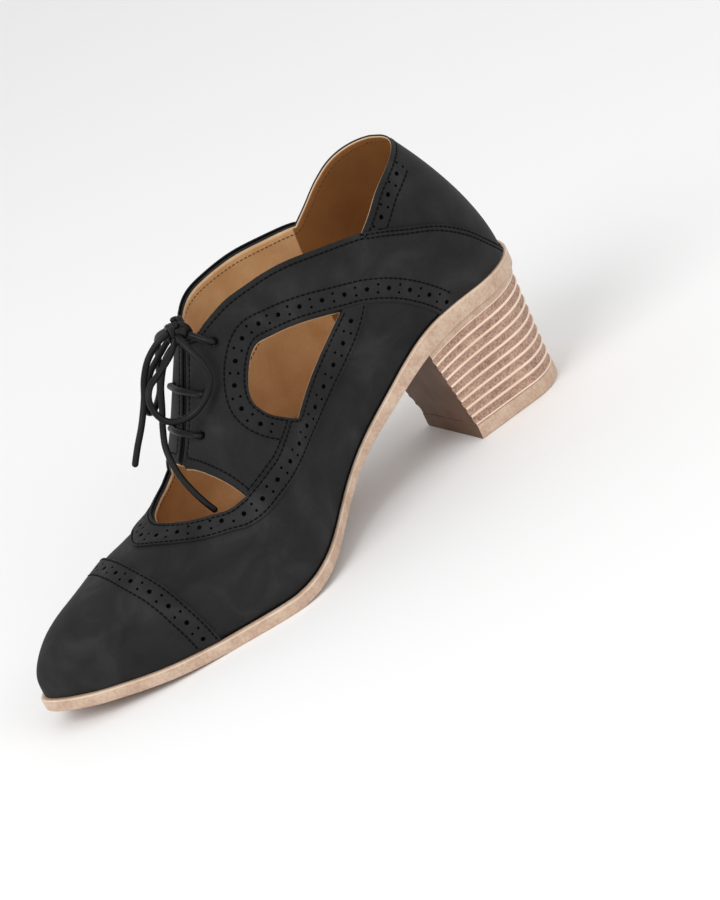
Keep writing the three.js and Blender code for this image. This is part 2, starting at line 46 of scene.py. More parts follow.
# Sizes of the model
LENGTH = 242
BALL_WIDTH = 85
HEEL_HEIGHT = 50
TOE_SPRING = 9
INSTEP_HEIGHT = 100
SOLE_THICKNESS = 5
BACK_LEAN = 24
BACK_HEIGHT = 60
WALL = 1.8
OVERLAY = 0.8
INSOLE_THICKNESS = 3
INSOLE_CLEARANCE = 0.7
WELT_HEEL = 1
WELT_TOE = 2
WELT_BLEND = 12
HEEL_ROUND = 28
TOE_ROUND = 16
TOE_DROP = 26
TOE_WALL = 5
GAP = 0.3
HEEL_LENGTH = 57
HEEL_FOOT_LENGTH = 49
HEEL_FOOT_WIDTH = 38
TOP_PIECE = 6
HEEL_INSET = 0.8
HEEL_BAND = 3
RIBS = 9
RIB_DEPTH = 0.9
SLIT_WIDTH = 3.6
SLIT_OFFSET = -1.8
LACE = 2.4
EYELET = 3.3
HALF_BALL = BALL_WIDTH / 2
OUTER = -OVERLAY / 4
UNDER = OUTER + OVERLAY
UPPER_OUT = UNDER + GAP
UPPER_IN = UPPER_OUT + WALL
INSOLE_INSET = UPPER_IN + INSOLE_CLEARANCE

# Sections of the last from heel to toe, in shares of the sizes that they follow
COLUMNS = (
    "along", "axis", "medial", "lateral", "heel_rise", "toe_rise", "sole", "ridge", "fullness", "bulge",
)
LAST = np.array([
    (0.000, 0.000, 0.612, 0.612, 1.000, 0.00, 1.30, 0.805, 2.60, 0.047),
    (0.124, 0.000, 0.600, 0.624, 0.960, 0.00, 1.40, 0.830, 2.60, 0.059),
    (0.236, 0.000, 0.576, 0.659, 0.860, 0.00, 1.52, 0.864, 2.50, 0.047),
    (0.322, 0.000, 0.506, 0.706, 0.650, 0.00, 1.20, 0.945, 2.40, 0.047),
    (0.393, 0.000, 0.459, 0.753, 0.450, 0.00, 0.96, 0.997, 2.20, 0.059),
    (0.475, 0.000, 0.612, 0.847, 0.220, 0.00, 0.92, 0.974, 2.05, 0.071),
    (0.537, 0.000, 0.847, 0.941, 0.096, 0.00, 0.96, 0.824, 2.00, 0.059),
    (0.607, 0.000, 1.000, 1.000, 0.016, 0.00, 1.00, 0.561, 1.95, 0.035),
    (0.682, 0.007, 0.948, 0.979, -0.010, 0.00, 1.00, 0.390, 2.00, 0.024),
    (0.764, 0.031, 0.807, 0.885, 0.000, 0.02, 1.00, 0.344, 2.20, 0.035),
    (0.847, 0.078, 0.647, 0.713, 0.000, 0.24, 1.00, 0.289, 2.20, 0.035),
    (0.930, 0.118, 0.412, 0.466, 0.000, 0.60, 1.00, 0.227, 2.20, 0.035),
    (1.000, 0.141, 0.235, 0.224, 0.000, 1.00, 1.00, 0.171, 2.30, 0.035),
])

# Pattern lines seen from the side: along and rise above the feather edge
WINDOW = [
    (0.328, 0.390), (0.334, 0.404), (0.380, 0.508), (0.438, 0.625), (0.475, 0.684),
    (0.512, 0.653), (0.529, 0.588), (0.521, 0.521), (0.500, 0.451), (0.483, 0.400),
    (0.476, 0.383), (0.466, 0.382), (0.401, 0.380), (0.338, 0.388),
]
TOPLINE_BACK = [
    (0.000, 0.612), (0.083, 0.615), (0.107, 0.613), (0.149, 0.588), (0.190, 0.544), (0.223, 0.498),
    (0.248, 0.477),
]
TOPLINE_FRONT = [
    (0.248, 0.477), (0.264, 0.507), (0.310, 0.595), (0.372, 0.714), (0.430, 0.803), (0.479, 0.859),
    (0.512, 0.858), (0.533, 0.831),
]
FACING_LINE = [
    (0.674, 0.296), (0.655, 0.290), (0.624, 0.289), (0.600, 0.295), (0.575, 0.305), (0.492, 0.293),
    (0.421, 0.261), (0.343, 0.258), (0.298, 0.295), (0.268, 0.387), (0.256, 0.485),
]
QUARTER_LOW = [
    (0.178, -0.060), (0.190, 0.004), (0.215, 0.087), (0.248, 0.187), (0.293, 0.309), (0.333, 0.400),
    (0.356, 0.435),
]
QUARTER_FRONT = [(0.475, 0.430), (0.488, 0.424), (0.550, 0.404)]
COLLAR_SEAM = [
    (0.253, 0.488), (0.246, 0.472), (0.219, 0.420), (0.182, 0.361), (0.132, 0.291), (0.091, 0.206),
    (0.058, 0.112), (0.033, 0.039), (0.008, -0.044),
]

# Pattern lines seen from above: along and the share of the section's half width
THROAT_FRONT = [
    (0.612, 0.704), (0.640, 0.611), (0.661, 0.502), (0.690, 0.318), (0.707, 0.117), (0.711, 0),
]
FLAP_FRONT = [(0.632, 0), (0.624, 0.351), (0.616, 0.586), (0.612, 0.704)]
FACING_FRONT = [
    (0.657, 0.691), (0.686, 0.591), (0.715, 0.458), (0.740, 0.280), (0.760, 0),
]
CAP_FOOT = 0.755
CAP_LINE = [(0.773, 0.877), (0.781, 0.676), (0.791, 0.375), (0.793, 0)]
EYELETS = [(0.521, 0.389), (0.566, 0.290), (0.599, 0.237)]

# Lace routes: x, distance from the heel, z
LOOP_MEDIAL = [
    (4, 134, 98), (5, 139, 93.5), (6, 147, 90), (7, 153, 88), (8, 156, 84.5), (8, 156, 78.5),
    (9, 154, 74.5), (11, 150.5, 72.8), (13.5, 145.5, 73), (16.5, 140, 76.5), (18, 136, 82),
    (16.5, 135.5, 89), (11.5, 136, 95.5), (6, 134.5, 99),
]
LOOP_LATERAL = [
    (-1, 133, 97), (-5, 138.5, 92), (-9, 144, 86.5), (-13, 148, 79), (-17, 149, 71), (-21, 145, 69),
    (-24, 139, 72), (-23, 135.5, 80), (-18, 134, 89), (-10, 135, 95.5), (-1, 134, 99),
]
END_FREE = [
    (3, 135, 99.5), (1, 140, 98), (-2, 145.5, 93.5), (-4, 149.5, 87.5), (-5, 152.5, 81),
    (-5, 155.5, 76.5), (-5, 158.5, 72.5), (-6, 163, 66.5), (-7, 167, 60.5),
]
END_TUCKED = [
    (3, 134.5, 95), (1.5, 140.5, 91.5), (0, 146, 84), (0, 150, 76), (0, 153.5, 69), (1, 156, 63.5),
    (3.5, 157.5, 58.5), (6, 158, 53), (9.5, 157.5, 47), (12.5, 156.5, 42), (15, 155, 37.5),
]
KNOT_CENTRE = (4, 133, 98.5)


# Camera of the photograph
CAMERA_PLACE = (0.90214, -0.36860, 0.43654)
CAMERA_LENS = 115.6
camera_data = bpy.data.cameras.new("camera")
camera_data.lens = CAMERA_LENS
camera_data.sensor_width = 36
camera = bpy.data.objects.new("camera", camera_data)
bpy.context.scene.collection.objects.link(camera)
AZIMUTH, ELEVATION, ROLL = (math.radians(angle) for angle in (66, 23, 26))
level_look = Vector((-math.sin(AZIMUTH), math.cos(AZIMUTH), 0))
look = math.cos(ELEVATION) * level_look - math.sin(ELEVATION) * Vector((0, 0, 1))
level = Vector((math.cos(AZIMUTH), math.sin(AZIMUTH), 0))
upright = level.cross(look)
right = math.cos(ROLL) * level - math.sin(ROLL) * upright
up = math.sin(ROLL) * level + math.cos(ROLL) * upright
turned = Matrix((right, up, -look)).transposed().to_4x4()
camera.matrix_world = Matrix.Translation(CAMERA_PLACE) @ turned
bpy.context.scene.camera = camera


# Curves
def unit(vectors):
    return vectors / np.maximum(np.linalg.norm(vectors, axis=-1, keepdims=True), 1e-9)


def distances(points):
    """Distance along a line of points to each of them."""
    return np.concatenate([[0], np.cumsum(np.linalg.norm(np.diff(points, axis=0), axis=1))])


def natural_spline(xs, ys):
    """A curve of the model's length through values at shares of it, straight at both ends."""
    last = len(xs) - 1
    bend = np.zeros(len(xs))
    work = np.zeros(len(xs))
    for i in range(1, last):
        share = (xs[i] - xs[i - 1]) / (xs[i + 1] - xs[i - 1])
        pivot = share * bend[i - 1] + 2
        ahead = (ys[i + 1] - ys[i]) / (xs[i + 1] - xs[i])
        behind = (ys[i] - ys[i - 1]) / (xs[i] - xs[i - 1])
        bend[i] = (share - 1) / pivot
        work[i] = (6 * (ahead - behind) / (xs[i + 1] - xs[i - 1]) - share * work[i - 1]) / pivot
    bend[last] = 0
    for i in range(last - 1, -1, -1):
        bend[i] = bend[i] * bend[i + 1] + work[i]

    def value(s):
        x = np.clip(np.asarray(s, float) / LENGTH, 0, 1)
        i = np.clip(np.searchsorted(xs, x) - 1, 0, last - 1)
        step = xs[i + 1] - xs[i]
        a = (xs[i + 1] - x) / step
        b = (x - xs[i]) / step
        curve = ((a**3 - a) * bend[i] + (b**3 - b) * bend[i + 1]) * step * step / 6
        return a * ys[i] + b * ys[i + 1] + curve

    return value


column = {name: natural_spline(LAST[:, 0], LAST[:, k]) for k, name in enumerate(COLUMNS) if k}


def smooth(points, closed=False, steps=12):
    """Centripetal Catmull-Rom line through points of any dimension."""
    p = [np.array(q, float) for q in points]
    if closed:
        p = [p[-1]] + p + [p[0], p[1]]
    else:
        p = [2 * p[0] - p[1]] + p + [2 * p[-1] - p[-2]]
    line = []
    for a, b, c, d in zip(p, p[1:], p[2:], p[3:]):
        da, db, dc = (max(np.linalg.norm(y - x), 1e-4) ** 0.5 for x, y in ((a, b), (b, c), (c, d)))
        start = ((b - a) / da - (c - a) / (da + db) + (c - b) / db) * db
        end = ((c - b) / db - (d - b) / (db + dc) + (d - c) / dc) * db
        for t in np.arange(steps) / steps:
            line.append((2 * t**3 - 3 * t**2 + 1) * b + (t**3 - 2 * t**2 + t) * start
                        + (3 * t**2 - 2 * t**3) * c + (t**3 - t**2) * end)
    if not closed:
        line.append(p[-2])
    return np.array(line)


# The last's surface
def sole_bottom(s):
    return np.maximum(0, HEEL_HEIGHT * column["heel_rise"](s) + TOE_SPRING * column["toe_rise"](s))


def feather(s):
    return sole_bottom(s) + SOLE_THICKNESS * column["sole"](s)


def axis(s):
    return HALF_BALL * column["axis"](s)


def half_width(s, side):
    return HALF_BALL * np.where(np.asarray(side) > 0, column["medial"](s), column["lateral"](s))


def end_share(s, start, end, inset):
    back = np.clip((s - start) / (HEEL_ROUND - inset), 0, 1)
    toe = np.clip((end - s) / (TOE_ROUND - inset), 0, 1)
    return np.sqrt(1 - (1 - back) ** 2) * np.sqrt(1 - (1 - toe) ** 2)


def welt(s):
    return WELT_HEEL + (WELT_TOE - WELT_HEEL) / (1 + np.exp((0.52 * LENGTH - s) / WELT_BLEND))


def last_point(s, arch, side, inset):
    """Points of the last pushed inwards; arch is 0 at the feather edge and a quarter turn on the ridge."""
    start = WELT_HEEL + inset
    end = LENGTH - WELT_TOE - inset
    ends = end_share(s, start, end, inset)
    width = (half_width(s, side) - welt(s) - inset) * ends
    slope = INSTEP_HEIGHT * (column["ridge"](s + 1) - column["ridge"](s - 1)) / 2
    drop = np.clip((end - s) / TOE_DROP, 0, 1)
    crown = INSTEP_HEIGHT * column["ridge"](s) - TOE_WALL - inset * np.hypot(1, slope)
    height = TOE_WALL + crown * np.sqrt(1 - (1 - drop) ** 2.2)
    power = 2 / column["fullness"](s)
    rise_share = np.sin(arch) ** power
    out = np.maximum(0, np.cos(arch)) ** power
    bulge = HALF_BALL * column["bulge"](s) * ends * 6.75 * rise_share * (1 - rise_share) ** 2
    rise = height * rise_share
    lean = BACK_LEAN * (rise / BACK_HEIGHT) ** 1.6 * np.maximum(0, 1 - s / (0.475 * LENGTH)) ** 1.5
    x = axis(s) + side * (width * out + bulge)
    return np.stack([x, LENGTH / 2 - s - lean, feather(s) + rise], -1)


# A chart of that surface, by equal lengths around each section: u runs from the back seam to the toe,
# and v from the lateral feather edge, over the ridge at 0, to the medial one
U_STEPS = 240
V_STEPS = 90


def station(u, inset):
    start = WELT_HEEL + inset
    end = LENGTH - WELT_TOE - inset
    return start + (end - start) * (1 - np.cos(np.pi * u)) / 2


def chart_of(along):
    share = (np.asarray(along, float) * LENGTH - WELT_HEEL) / (LENGTH - WELT_TOE - WELT_HEEL)
    return np.arccos(1 - 2 * np.clip(share, 0, 1)) / np.pi


def arch_table(side):
    table = np.zeros((U_STEPS + 1, V_STEPS + 1))
    arch = np.pi / 2 * np.linspace(1, 0, 400) ** 1.6
    for i in range(U_STEPS + 1):
        s = np.full(arch.shape, station(i / U_STEPS, 0))
        points = last_point(s, arch, side, 0)
        run = distances(points)
        table[i] = np.interp(np.linspace(0, 1, V_STEPS + 1), run / run[-1], arch)
    return table


arch_tables = {1: arch_table(1), -1: arch_table(-1)}


def arch_at(u, v):
    x = np.clip(u, 0, 1) * U_STEPS
    y = np.clip(np.abs(v), 0, 1) * V_STEPS
    i = np.minimum(x.astype(int), U_STEPS - 1)
    j = np.minimum(y.astype(int), V_STEPS - 1)
    a, b = x - i, y - j

    def blend(t):
        return ((1 - a) * (1 - b) * t[i, j] + a * (1 - b) * t[i + 1, j]
                + (1 - a) * b * t[i, j + 1] + a * b * t[i + 1, j + 1])

    return np.where(np.asarray(v) >= 0, blend(arch_tables[1]), blend(arch_tables[-1]))


def skin(uv, inset):
    """Surface points in millimetres at chart places and an inset, or one inset for each."""
    u, v = np.clip(uv[:, 0], 0, 1), np.clip(uv[:, 1], -1, 1)
    inset = np.broadcast_to(np.asarray(inset, float), u.shape)
    side = np.where(v >= 0, 1, -1)
    return last_point(station(u, inset), arch_at(u, v), side, inset)


# Soft bends of vamp and waist: share along, slant, from and to across the chart, depth and width
CREASES = (
    (0.715, 0.020, 0.30, 0.98, 0.40, 4.5),
    (0.745, 0.012, -0.90, -0.25, 0.35, 4.5),
    (0.735, -0.015, -0.30, 0.55, 0.25, 5.5),
    (0.640, 0.030, 0.62, 0.98, 0.35, 5.0),
    (0.660, 0.030, -0.98, -0.60, 0.35, 5.0),
    (0.430, 0.050, 0.55, 0.97, 0.30, 7.0),
    (0.420, 0.050, -0.97, -0.55, 0.30, 7.0),
    (0.300, 0.080, 0.45, 0.80, 0.25, 6.0),
    (0.160, 0.060, 0.40, 0.85, 0.25, 8.0),
)
RIDGE_AWAY = 1.8
RIDGE_SHARE = 0.45


def worn(uv, inset):
    """Surface points as skin gives them, let into the creases and raised beside them."""
    s = station(np.clip(uv[:, 0], 0, 1), 0) / LENGTH
    depth = np.zeros(len(uv))
    for along, slant, start, end, deep, width in CREASES:
        middle, reach = (start + end) / 2, (end - start) / 2
        across = (uv[:, 1] - middle) / reach
        fade = np.maximum(0, 1 - across**2) ** 1.5
        away = (s - along - slant * across) * LENGTH / width
        ridges = np.exp(-(away - RIDGE_AWAY) ** 2) + np.exp(-(away + RIDGE_AWAY) ** 2)
        depth += deep * fade * (np.exp(-away**2) - RIDGE_SHARE * ridges)
    return skin(uv, np.maximum(inset + depth, np.minimum(inset, 0)))


def tangents(uv):
    """How the surface point moves with u and with v."""
    uv = np.clip(uv, (0, -1), (1, 1))
    step = 1e-4
    su = np.where(uv[:, 0] > 0.5, -step, step)
    sv = np.where(uv[:, 1] > 0, -step, step)
    base = skin(uv, 0)
    along = (skin(uv + np.stack([su, 0 * su], -1), 0) - base) / su[:, None]
    across = (skin(uv + np.stack([0 * sv, sv], -1), 0) - base) / sv[:, None]
    return along, across


def normals(uv):
    return unit(np.cross(*tangents(uv)))


def shift(uv, move):
    """Chart places after a small move along the surface, given in millimetres."""
    along, across = tangents(uv)
    aa, ab, bb = (along * along).sum(1), (along * across).sum(1), (across * across).sum(1)
    ma, mb = (along * move).sum(1), (across * move).sum(1)
    det = np.maximum(aa * bb - ab * ab, 1e-6)
    return uv + np.stack([(bb * ma - ab * mb) / det, (aa * mb - ab * ma) / det], -1)


def locate(targets, axes, side):
    """Chart places on one side whose point has the given coordinates along two axes."""
    us, vs = np.meshgrid(np.linspace(0, 1, 161), np.linspace(0, 1, 61), indexing="ij")
    grid = np.stack([us.ravel(), side * vs.ravel()], -1)
    seen = skin(grid, 0)[:, axes]
    uv = np.array([grid[np.argmin(((seen - target) ** 2).sum(1))] for target in targets])
    for _ in range(12):
        error = np.array(targets) - skin(uv, 0)[:, axes]
        along, across = (t[:, axes] for t in tangents(uv))
        aa, ab, bb = (along * along).sum(1) + 0.01, (along * across).sum(1), (across * across).sum(1) + 0.01
        ea, eb = (along * error).sum(1), (across * error).sum(1)
        step = np.stack([bb * ea - ab * eb, aa * eb - ab * ea], -1) / (aa * bb - ab * ab)[:, None]
        uv += np.clip(step, -0.02, 0.02)
        uv[:, 0] = np.clip(uv[:, 0], 0, 1)
        uv[:, 1] = side * np.clip(side * uv[:, 1], 0, 1)
    return uv


def side_line(points, side, closed=False, steps=6):
    """A pattern line seen from the side, laid on the chart."""
    flat = [(along * LENGTH, feather(along * LENGTH) + rise * INSTEP_HEIGHT) for along, rise in points]
    targets = np.array([(LENGTH / 2 - s, z) for s, z in smooth(flat, closed, steps)])
    uv = locate(targets, [1, 2], side)
    met = np.linalg.norm(skin(uv, 0)[:, 1:] - targets, axis=1) < 0.3
    return uv[met]


def in_plan(points, side):
    """Distance from the heel and x of points given by share along and share of the half width."""
    return [(along * LENGTH, axis(along * LENGTH) + side * across * half_width(along * LENGTH, side))
            for along, across in points]


def plan_line(points, side, steps=6):
    """A pattern line seen from above, laid on the chart."""
    targets = [(x, LENGTH / 2 - s) for s, x in smooth(in_plan(points, side), False, steps)]
    return locate(targets, [0, 1], side)


# Lines on the chart
def lengths(uv, closed=False):
    p = skin(uv, 0)
    return distances(np.vstack([p, p[:1]]) if closed else p)


def at_lengths(uv, where, closed=False):
    run = lengths(uv, closed)
    q = np.vstack([uv, uv[:1]]) if closed else uv
    return np.stack([np.interp(where, run, q[:, 0]), np.interp(where, run, q[:, 1])], -1)


def resample(uv, step, closed=False):
    total = lengths(uv, closed)[-1]
    count = max(2, round(total / step))
    where = np.linspace(0, total, count + 1)
    return at_lengths(uv, where[:-1] if closed else where, closed)


def leftward(uv, closed):
    """Unit vectors along the surface, to the left of a chart line."""
    p = skin(uv, 0)
    if closed:
        t = np.roll(p, -1, 0) - np.roll(p, 1, 0)
    else:
        t = np.gradient(p, axis=0)
    return unit(np.cross(normals(uv), t))


def offset(uv, distance, closed=False):
    """A line beside another; a positive distance is to its left."""
    base = skin(uv, 0)
    count = max(1, round(abs(distance)))
    for _ in range(count):
        uv = shift(uv, leftward(uv, closed) * (distance / count))
    gap = np.array([np.linalg.norm(base - point, axis=1).min() for point in skin(uv, 0)])
    return uv[gap > 0.95 * abs(distance)]


def crossing(a, b):
    """First crossing of two chart lines: position along each, as index plus share."""
    for i in range(len(a) - 1):
        d = a[i + 1] - a[i]
        e = b[1:] - b[:-1]
        det = d[0] * e[:, 1] - d[1] * e[:, 0]
        w = b[:-1] - a[i]
        det = np.where(np.abs(det) < 1e-15, 1e-15, det)
        t = (w[:, 0] * e[:, 1] - w[:, 1] * e[:, 0]) / det
        r = (w[:, 0] * d[1] - w[:, 1] * d[0]) / det
        hits = np.where((t >= 0) & (t <= 1) & (r >= 0) & (r <= 1))[0]
        if len(hits):
            j = hits[0]
            return i + t[j], j + r[j]
    return None


def part_of(line, start, end):
    """The part of a line between two positions, as index plus share."""
    def at(k):
        i = min(int(k), len(line) - 2)
        return line[i] + (k - i) * (line[i + 1] - line[i])

    inner = [line[i] for i in range(math.ceil(start + 1e-6), math.floor(end - 1e-6) + 1)]
    return np.array([at(start), *inner, at(end)])


def ring(lines):
    """Closed loop from lines in turn, each cut where it meets the next."""
    starts = [0.0] * len(lines)
    ends = [len(line) - 1.0 for line in lines]
    for i, line in enumerate(lines):
        j = (i + 1) % len(lines)
        hit = crossing(line, lines[j])
        if hit:
            ends[i], starts[j] = hit
    loop = np.vstack([part_of(line, a, b) for line, a, b in zip(lines, starts, ends)])
    keep = [0]
    for k in range(1, len(loop)):
        if np.linalg.norm(loop[k] - loop[keep[-1]]) > 1e-5:
            keep.append(k)
    loop = loop[keep]
    return loop[:-1] if np.linalg.norm(loop[0] - loop[-1]) < 1e-5 else loop


def straight(a, b, steps=8):
    t = np.linspace(0, 1, steps + 1)[:, None]
    return np.array(a) + t * (np.array(b) - np.array(a))


# Meshes: the chart is triangulated at about the surface's own size
CHART_SCALE = np.array([300.0, 85.0])


def signed_area(loop):
    x, y = loop[:, 0], loop[:, 1]
    return 0.5 * np.sum(x * np.roll(y, -1) - y * np.roll(x, -1))


def seam_side(uv):
    """-1 on the back seam, 1 on the toe seam, 0 elsewhere."""
    return np.where(uv[:, 0] < 1e-7, -1, np.where(uv[:, 0] > 1 - 1e-7, 1, 0))


def pulled_in(loop, distance):
    """A loop moved to its left, with its seam points kept on their seam."""
    seam = seam_side(loop)
    ahead, behind = np.roll(seam, -1), np.roll(seam, 1)
    held = (seam != 0) & (seam == ahead) & (seam == behind)
    p = skin(loop, 0)
    t_ahead = np.roll(p, -1, 0) - p
    t_behind = p - np.roll(p, 1, 0)
    on_seam_ahead = ((seam != 0) & (seam == ahead))[:, None]
    on_seam_behind = ((seam != 0) & (seam == behind))[:, None]
    t_ahead = np.where(on_seam_ahead, t_behind, t_ahead)
    t_behind = np.where(on_seam_behind, t_ahead, t_behind)
    n = normals(loop)
    left = unit(np.cross(n, t_ahead))
    middle = unit(left + unit(np.cross(n, t_behind)))
    miter = 1 / np.clip((middle * left).sum(1), 0.6, 1)
    moved = shift(loop, middle * (distance * miter)[:, None])
    moved[held] = loop[held]
    moved[seam != 0, 0] = loop[seam != 0, 0]
    return moved


def circle_on(place, radius, sides):
    """A circle on the surface around a chart place."""
    uv = np.repeat(np.array(place)[None, :], sides, 0)
    along, _ = tangents(uv)
    first = unit(along)
    second = np.cross(normals(uv), first)
    turn = 2 * np.pi * np.arange(sides) / sides
    return shift(uv, radius * (first * np.cos(turn)[:, None] + second * np.sin(turn)[:, None]))


def within(places, loop):
    """Which chart places a closed loop runs round."""
    a, b = loop, np.roll(loop, -1, 0)
    x, y = places[:, :1], places[:, 1:]
    spans = (a[:, 1] > y) != (b[:, 1] > y)
    height = np.where(b[:, 1] == a[:, 1], 1, b[:, 1] - a[:, 1])
    cross_x = a[:, 0] + (y - a[:, 1]) / height * (b[:, 0] - a[:, 0])
    return (spans & (x < cross_x)).sum(1) % 2 == 1


def triangulate(loops, extra, spacing):
    """Chart places, triangles, and each loop's and extra point's vertex numbers; a grid fills the inside."""
    fixed = np.vstack(loops + ([extra] if len(extra) else []))
    tree = KDTree(len(fixed))
    for k, q in enumerate(fixed * CHART_SCALE):
        tree.insert((q[0], q[1], 0), k)
    tree.balance()
    outer = loops[0] * CHART_SCALE
    low, high = outer.min(0), outer.max(0)
    rows = int((high[1] - low[1]) / (spacing * 0.87)) + 1
    grid = []
    for r in range(rows + 1):
        y = low[1] + r * spacing * 0.87
        x = low[0] + (r % 2) * spacing / 2
        while x < high[0]:
            if tree.find((x, y, 0))[2] > 0.62 * spacing:
                grid.append((x, y))
            x += spacing
    points = np.vstack([fixed * CHART_SCALE, np.array(grid).reshape(-1, 2)])
    edges = []
    start = 0
    for loop in loops:
        count = len(loop)
        edges += [(start + k, start + (k + 1) % count) for k in range(count)]
        start += count
    verts, _, faces, origins, _, _ = delaunay_2d_cdt([Vector(q) for q in points], edges, [], 0, 1e-7)
    corners = np.array([[verts[k][:] for k in face] for face in faces])
    middles = corners.mean(1) / CHART_SCALE
    kept = within(middles, loops[0])
    for loop in loops[1:]:
        near = kept & (middles >= loop.min(0)).all(1) & (middles <= loop.max(0)).all(1)
        kept[near] = ~within(middles[near], loop)
    faces = [face for face, keep in zip(faces, kept) if keep]
    used = {k for face in faces for k in face}
    number = {}
    kept = []
    for k in sorted(used):
        number[k] = len(kept)
        kept.append((verts[k][0], verts[k][1]))
    from_input = {}
    for k in used:
        for source in origins[k]:
            from_input[source] = number[k]
    members = []
    start = 0
    for loop in loops:
        members.append([from_input[start + k] for k in range(len(loop))])
        start += len(loop)
    extras = [from_input.get(start + k) for k in range(len(extra))]
    triangles = [[number[k] for k in face] for face in faces]
    return np.array(kept) / CHART_SCALE, triangles, members, extras


# Material numbers of a leather piece
FACE, EDGE, BACK, PIT = range(4)


class Shell:
    """Vertices and faces of one mesh as they are collected."""

    def __init__(self):
        self.points = []
        self.faces = []
        self.kinds = []

    def add_points(self, points):
        start = len(self.points)
        self.points.extend(map(tuple, points))
        return list(range(start, len(self.points)))

    def add_face(self, face, kind):
        if len(set(face)) > 2:
            self.faces.append(face)
            self.kinds.append(kind)

    def band(self, low, high, kind, open_edges):
        count = len(low)
        for k in range(count):
            j = (k + 1) % count
            if open_edges[k]:
                self.add_face([low[k], low[j], high[j], high[k]], kind)


def leather(loops, pits, grooves, outer, inner, spacing, back_spacing, round_edge, edge_split=1.0):
    """Sheet of leather between two insets, with rounded edges, blind punched holes and stitched channels."""
    shell = Shell()
    loops = [loop if (signed_area(loop) > 0) == (k == 0) else loop[::-1] for k, loop in enumerate(loops)]
    brims = [pulled_in(loop, round_edge) for loop in loops]
    wells = [circle_on(place, radius + 0.12, sides)[::-1] for place, radius, sides in pits]
    extra, sunk = [], []
    for line in grooves:
        middle = resample(line, 0.9)
        left = leftward(middle, False)
        for side, depth in ((0, 0.3), (0.5, 0), (-0.5, 0)):
            extra.append(shift(middle, side * left))
            sunk += [depth] * len(middle)
    extra = np.vstack(extra) if extra else np.zeros((0, 2))
    uv, triangles, members, extras = triangulate(brims + wells, extra, spacing)
    depth = np.zeros(len(uv))
    for k, amount in zip(extras, sunk):
        if k is not None:
            depth[k] = max(depth[k], amount)
    top = shell.add_points(worn(uv, outer + depth))
    for triangle in triangles:
        shell.add_face([top[k] for k in triangle], FACE)
    thickness = inner - outer
    back_uv, back_triangles, back_members, _ = triangulate(brims, np.zeros((0, 2)), back_spacing)
    bottom = shell.add_points(worn(back_uv, inner))
    for triangle in back_triangles:
        shell.add_face([bottom[k] for k in reversed(triangle)], BACK)
    split = edge_split * thickness
    profile = [(0.3, 0.3 * round_edge, FACE), (0, round_edge, FACE), (0, max(round_edge, split - 0.05), EDGE),
               (0, thickness - round_edge, BACK), (0.3, thickness - 0.3 * round_edge, BACK)]
    for loop, member, back_member in zip(loops, members, back_members):
        seam = seam_side(loop)
        open_edges = ~((seam != 0) & (seam == np.roll(seam, -1)))
        previous = [top[k] for k in member]
        kind = FACE
        for share, down, next_kind in profile:
            level = pulled_in(loop, share * round_edge) if share else loop
            current = shell.add_points(worn(level, outer + down))
            shell.band(current, previous, kind, open_edges)
            previous, kind = current, next_kind
        shell.band([bottom[k] for k in back_member], previous, kind, open_edges)
    # Hole walls and bottoms take the pit material: black leather, darkened further as painted shade
    for (place, radius, sides), member in zip(pits, members[len(loops):]):
        pit_depth = 0.92 * thickness if thickness < 1 else 0.9
        previous = [top[k] for k in member]
        closed = [True] * sides
        for grow, down, kind in ((0.03, 0.08, FACE), (0, 0.22, PIT), (0, pit_depth, PIT)):
            level = circle_on(place, radius + grow, sides)[::-1]
            current = shell.add_points(worn(level, outer + down))
            shell.band(current, previous, kind, closed)
            previous = current
        hub = shell.add_points(worn(np.array([place]), outer + pit_depth))[0]
        for k in range(sides):
            shell.add_face([previous[k], hub, previous[(k + 1) % sides]], PIT)
    return shell


def make_object(name, shell, materials, replaced=(), weld=0.02, sharp=50):
    """A piece of the scene from a shell; open borders closer than weld are joined."""
    mesh = bpy.data.meshes.new(name)
    points = np.array(shell.points) * MM
    mesh.from_pydata([tuple(p) for p in points], [], shell.faces)
    for material in materials:
        mesh.materials.append(material)
    mesh.polygons.foreach_set("material_index", shell.kinds)
    work = bmesh.new()
    work.from_mesh(mesh)
    if weld:
        border = [v for v in work.verts if v.is_boundary]
        bmesh.ops.remove_doubles(work, verts=border, dist=weld * MM)
    bmesh.ops.dissolve_degenerate(work, edges=work.edges, dist=1e-8)
    bmesh.ops.recalc_face_normals(work, faces=work.faces)
    work.to_mesh(mesh)
    work.free()
    mesh.shade_smooth()
    mesh.set_sharp_from_angle(angle=math.radians(sharp))
    piece = bpy.data.objects.new(name, mesh)
    bpy.context.scene.collection.objects.link(piece)
    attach(piece, "root")
    if replaced:
        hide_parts(*replaced)
    return piece


# Materials
def new_material(name, color, roughness, sheen=0.0, coat=0.0, gloss=0.5):
    material = bpy.data.materials.new(name)
    material.use_nodes = True
    shader = material.node_tree.nodes["Principled BSDF"]
    shader.inputs["Base Color"].default_value = (*color, 1)
    shader.inputs["Roughness"].default_value = roughness
    shader.inputs["Sheen Weight"].default_value = sheen
    shader.inputs["Sheen Roughness"].default_value = 0.45
    shader.inputs["Coat Weight"].default_value = coat
    shader.inputs["Specular IOR Level"].default_value = gloss
    return material


def noise(tree, scale, detail=4.0, distortion=0.0, stretch=(1, 1, 1)):
    coords = tree.nodes.new("ShaderNodeTexCoord")
    mapping = tree.nodes.new("ShaderNodeMapping")
    mapping.inputs["Scale"].default_value = stretch
    texture = tree.nodes.new("ShaderNodeTexNoise")
    texture.inputs["Scale"].default_value = scale
    texture.inputs["Detail"].default_value = detail
    texture.inputs["Distortion"].default_value = distortion
    tree.links.new(coords.outputs["Object"], mapping.inputs["Vector"])
    tree.links.new(mapping.outputs["Vector"], texture.inputs["Vector"])
    return texture.outputs["Fac"]


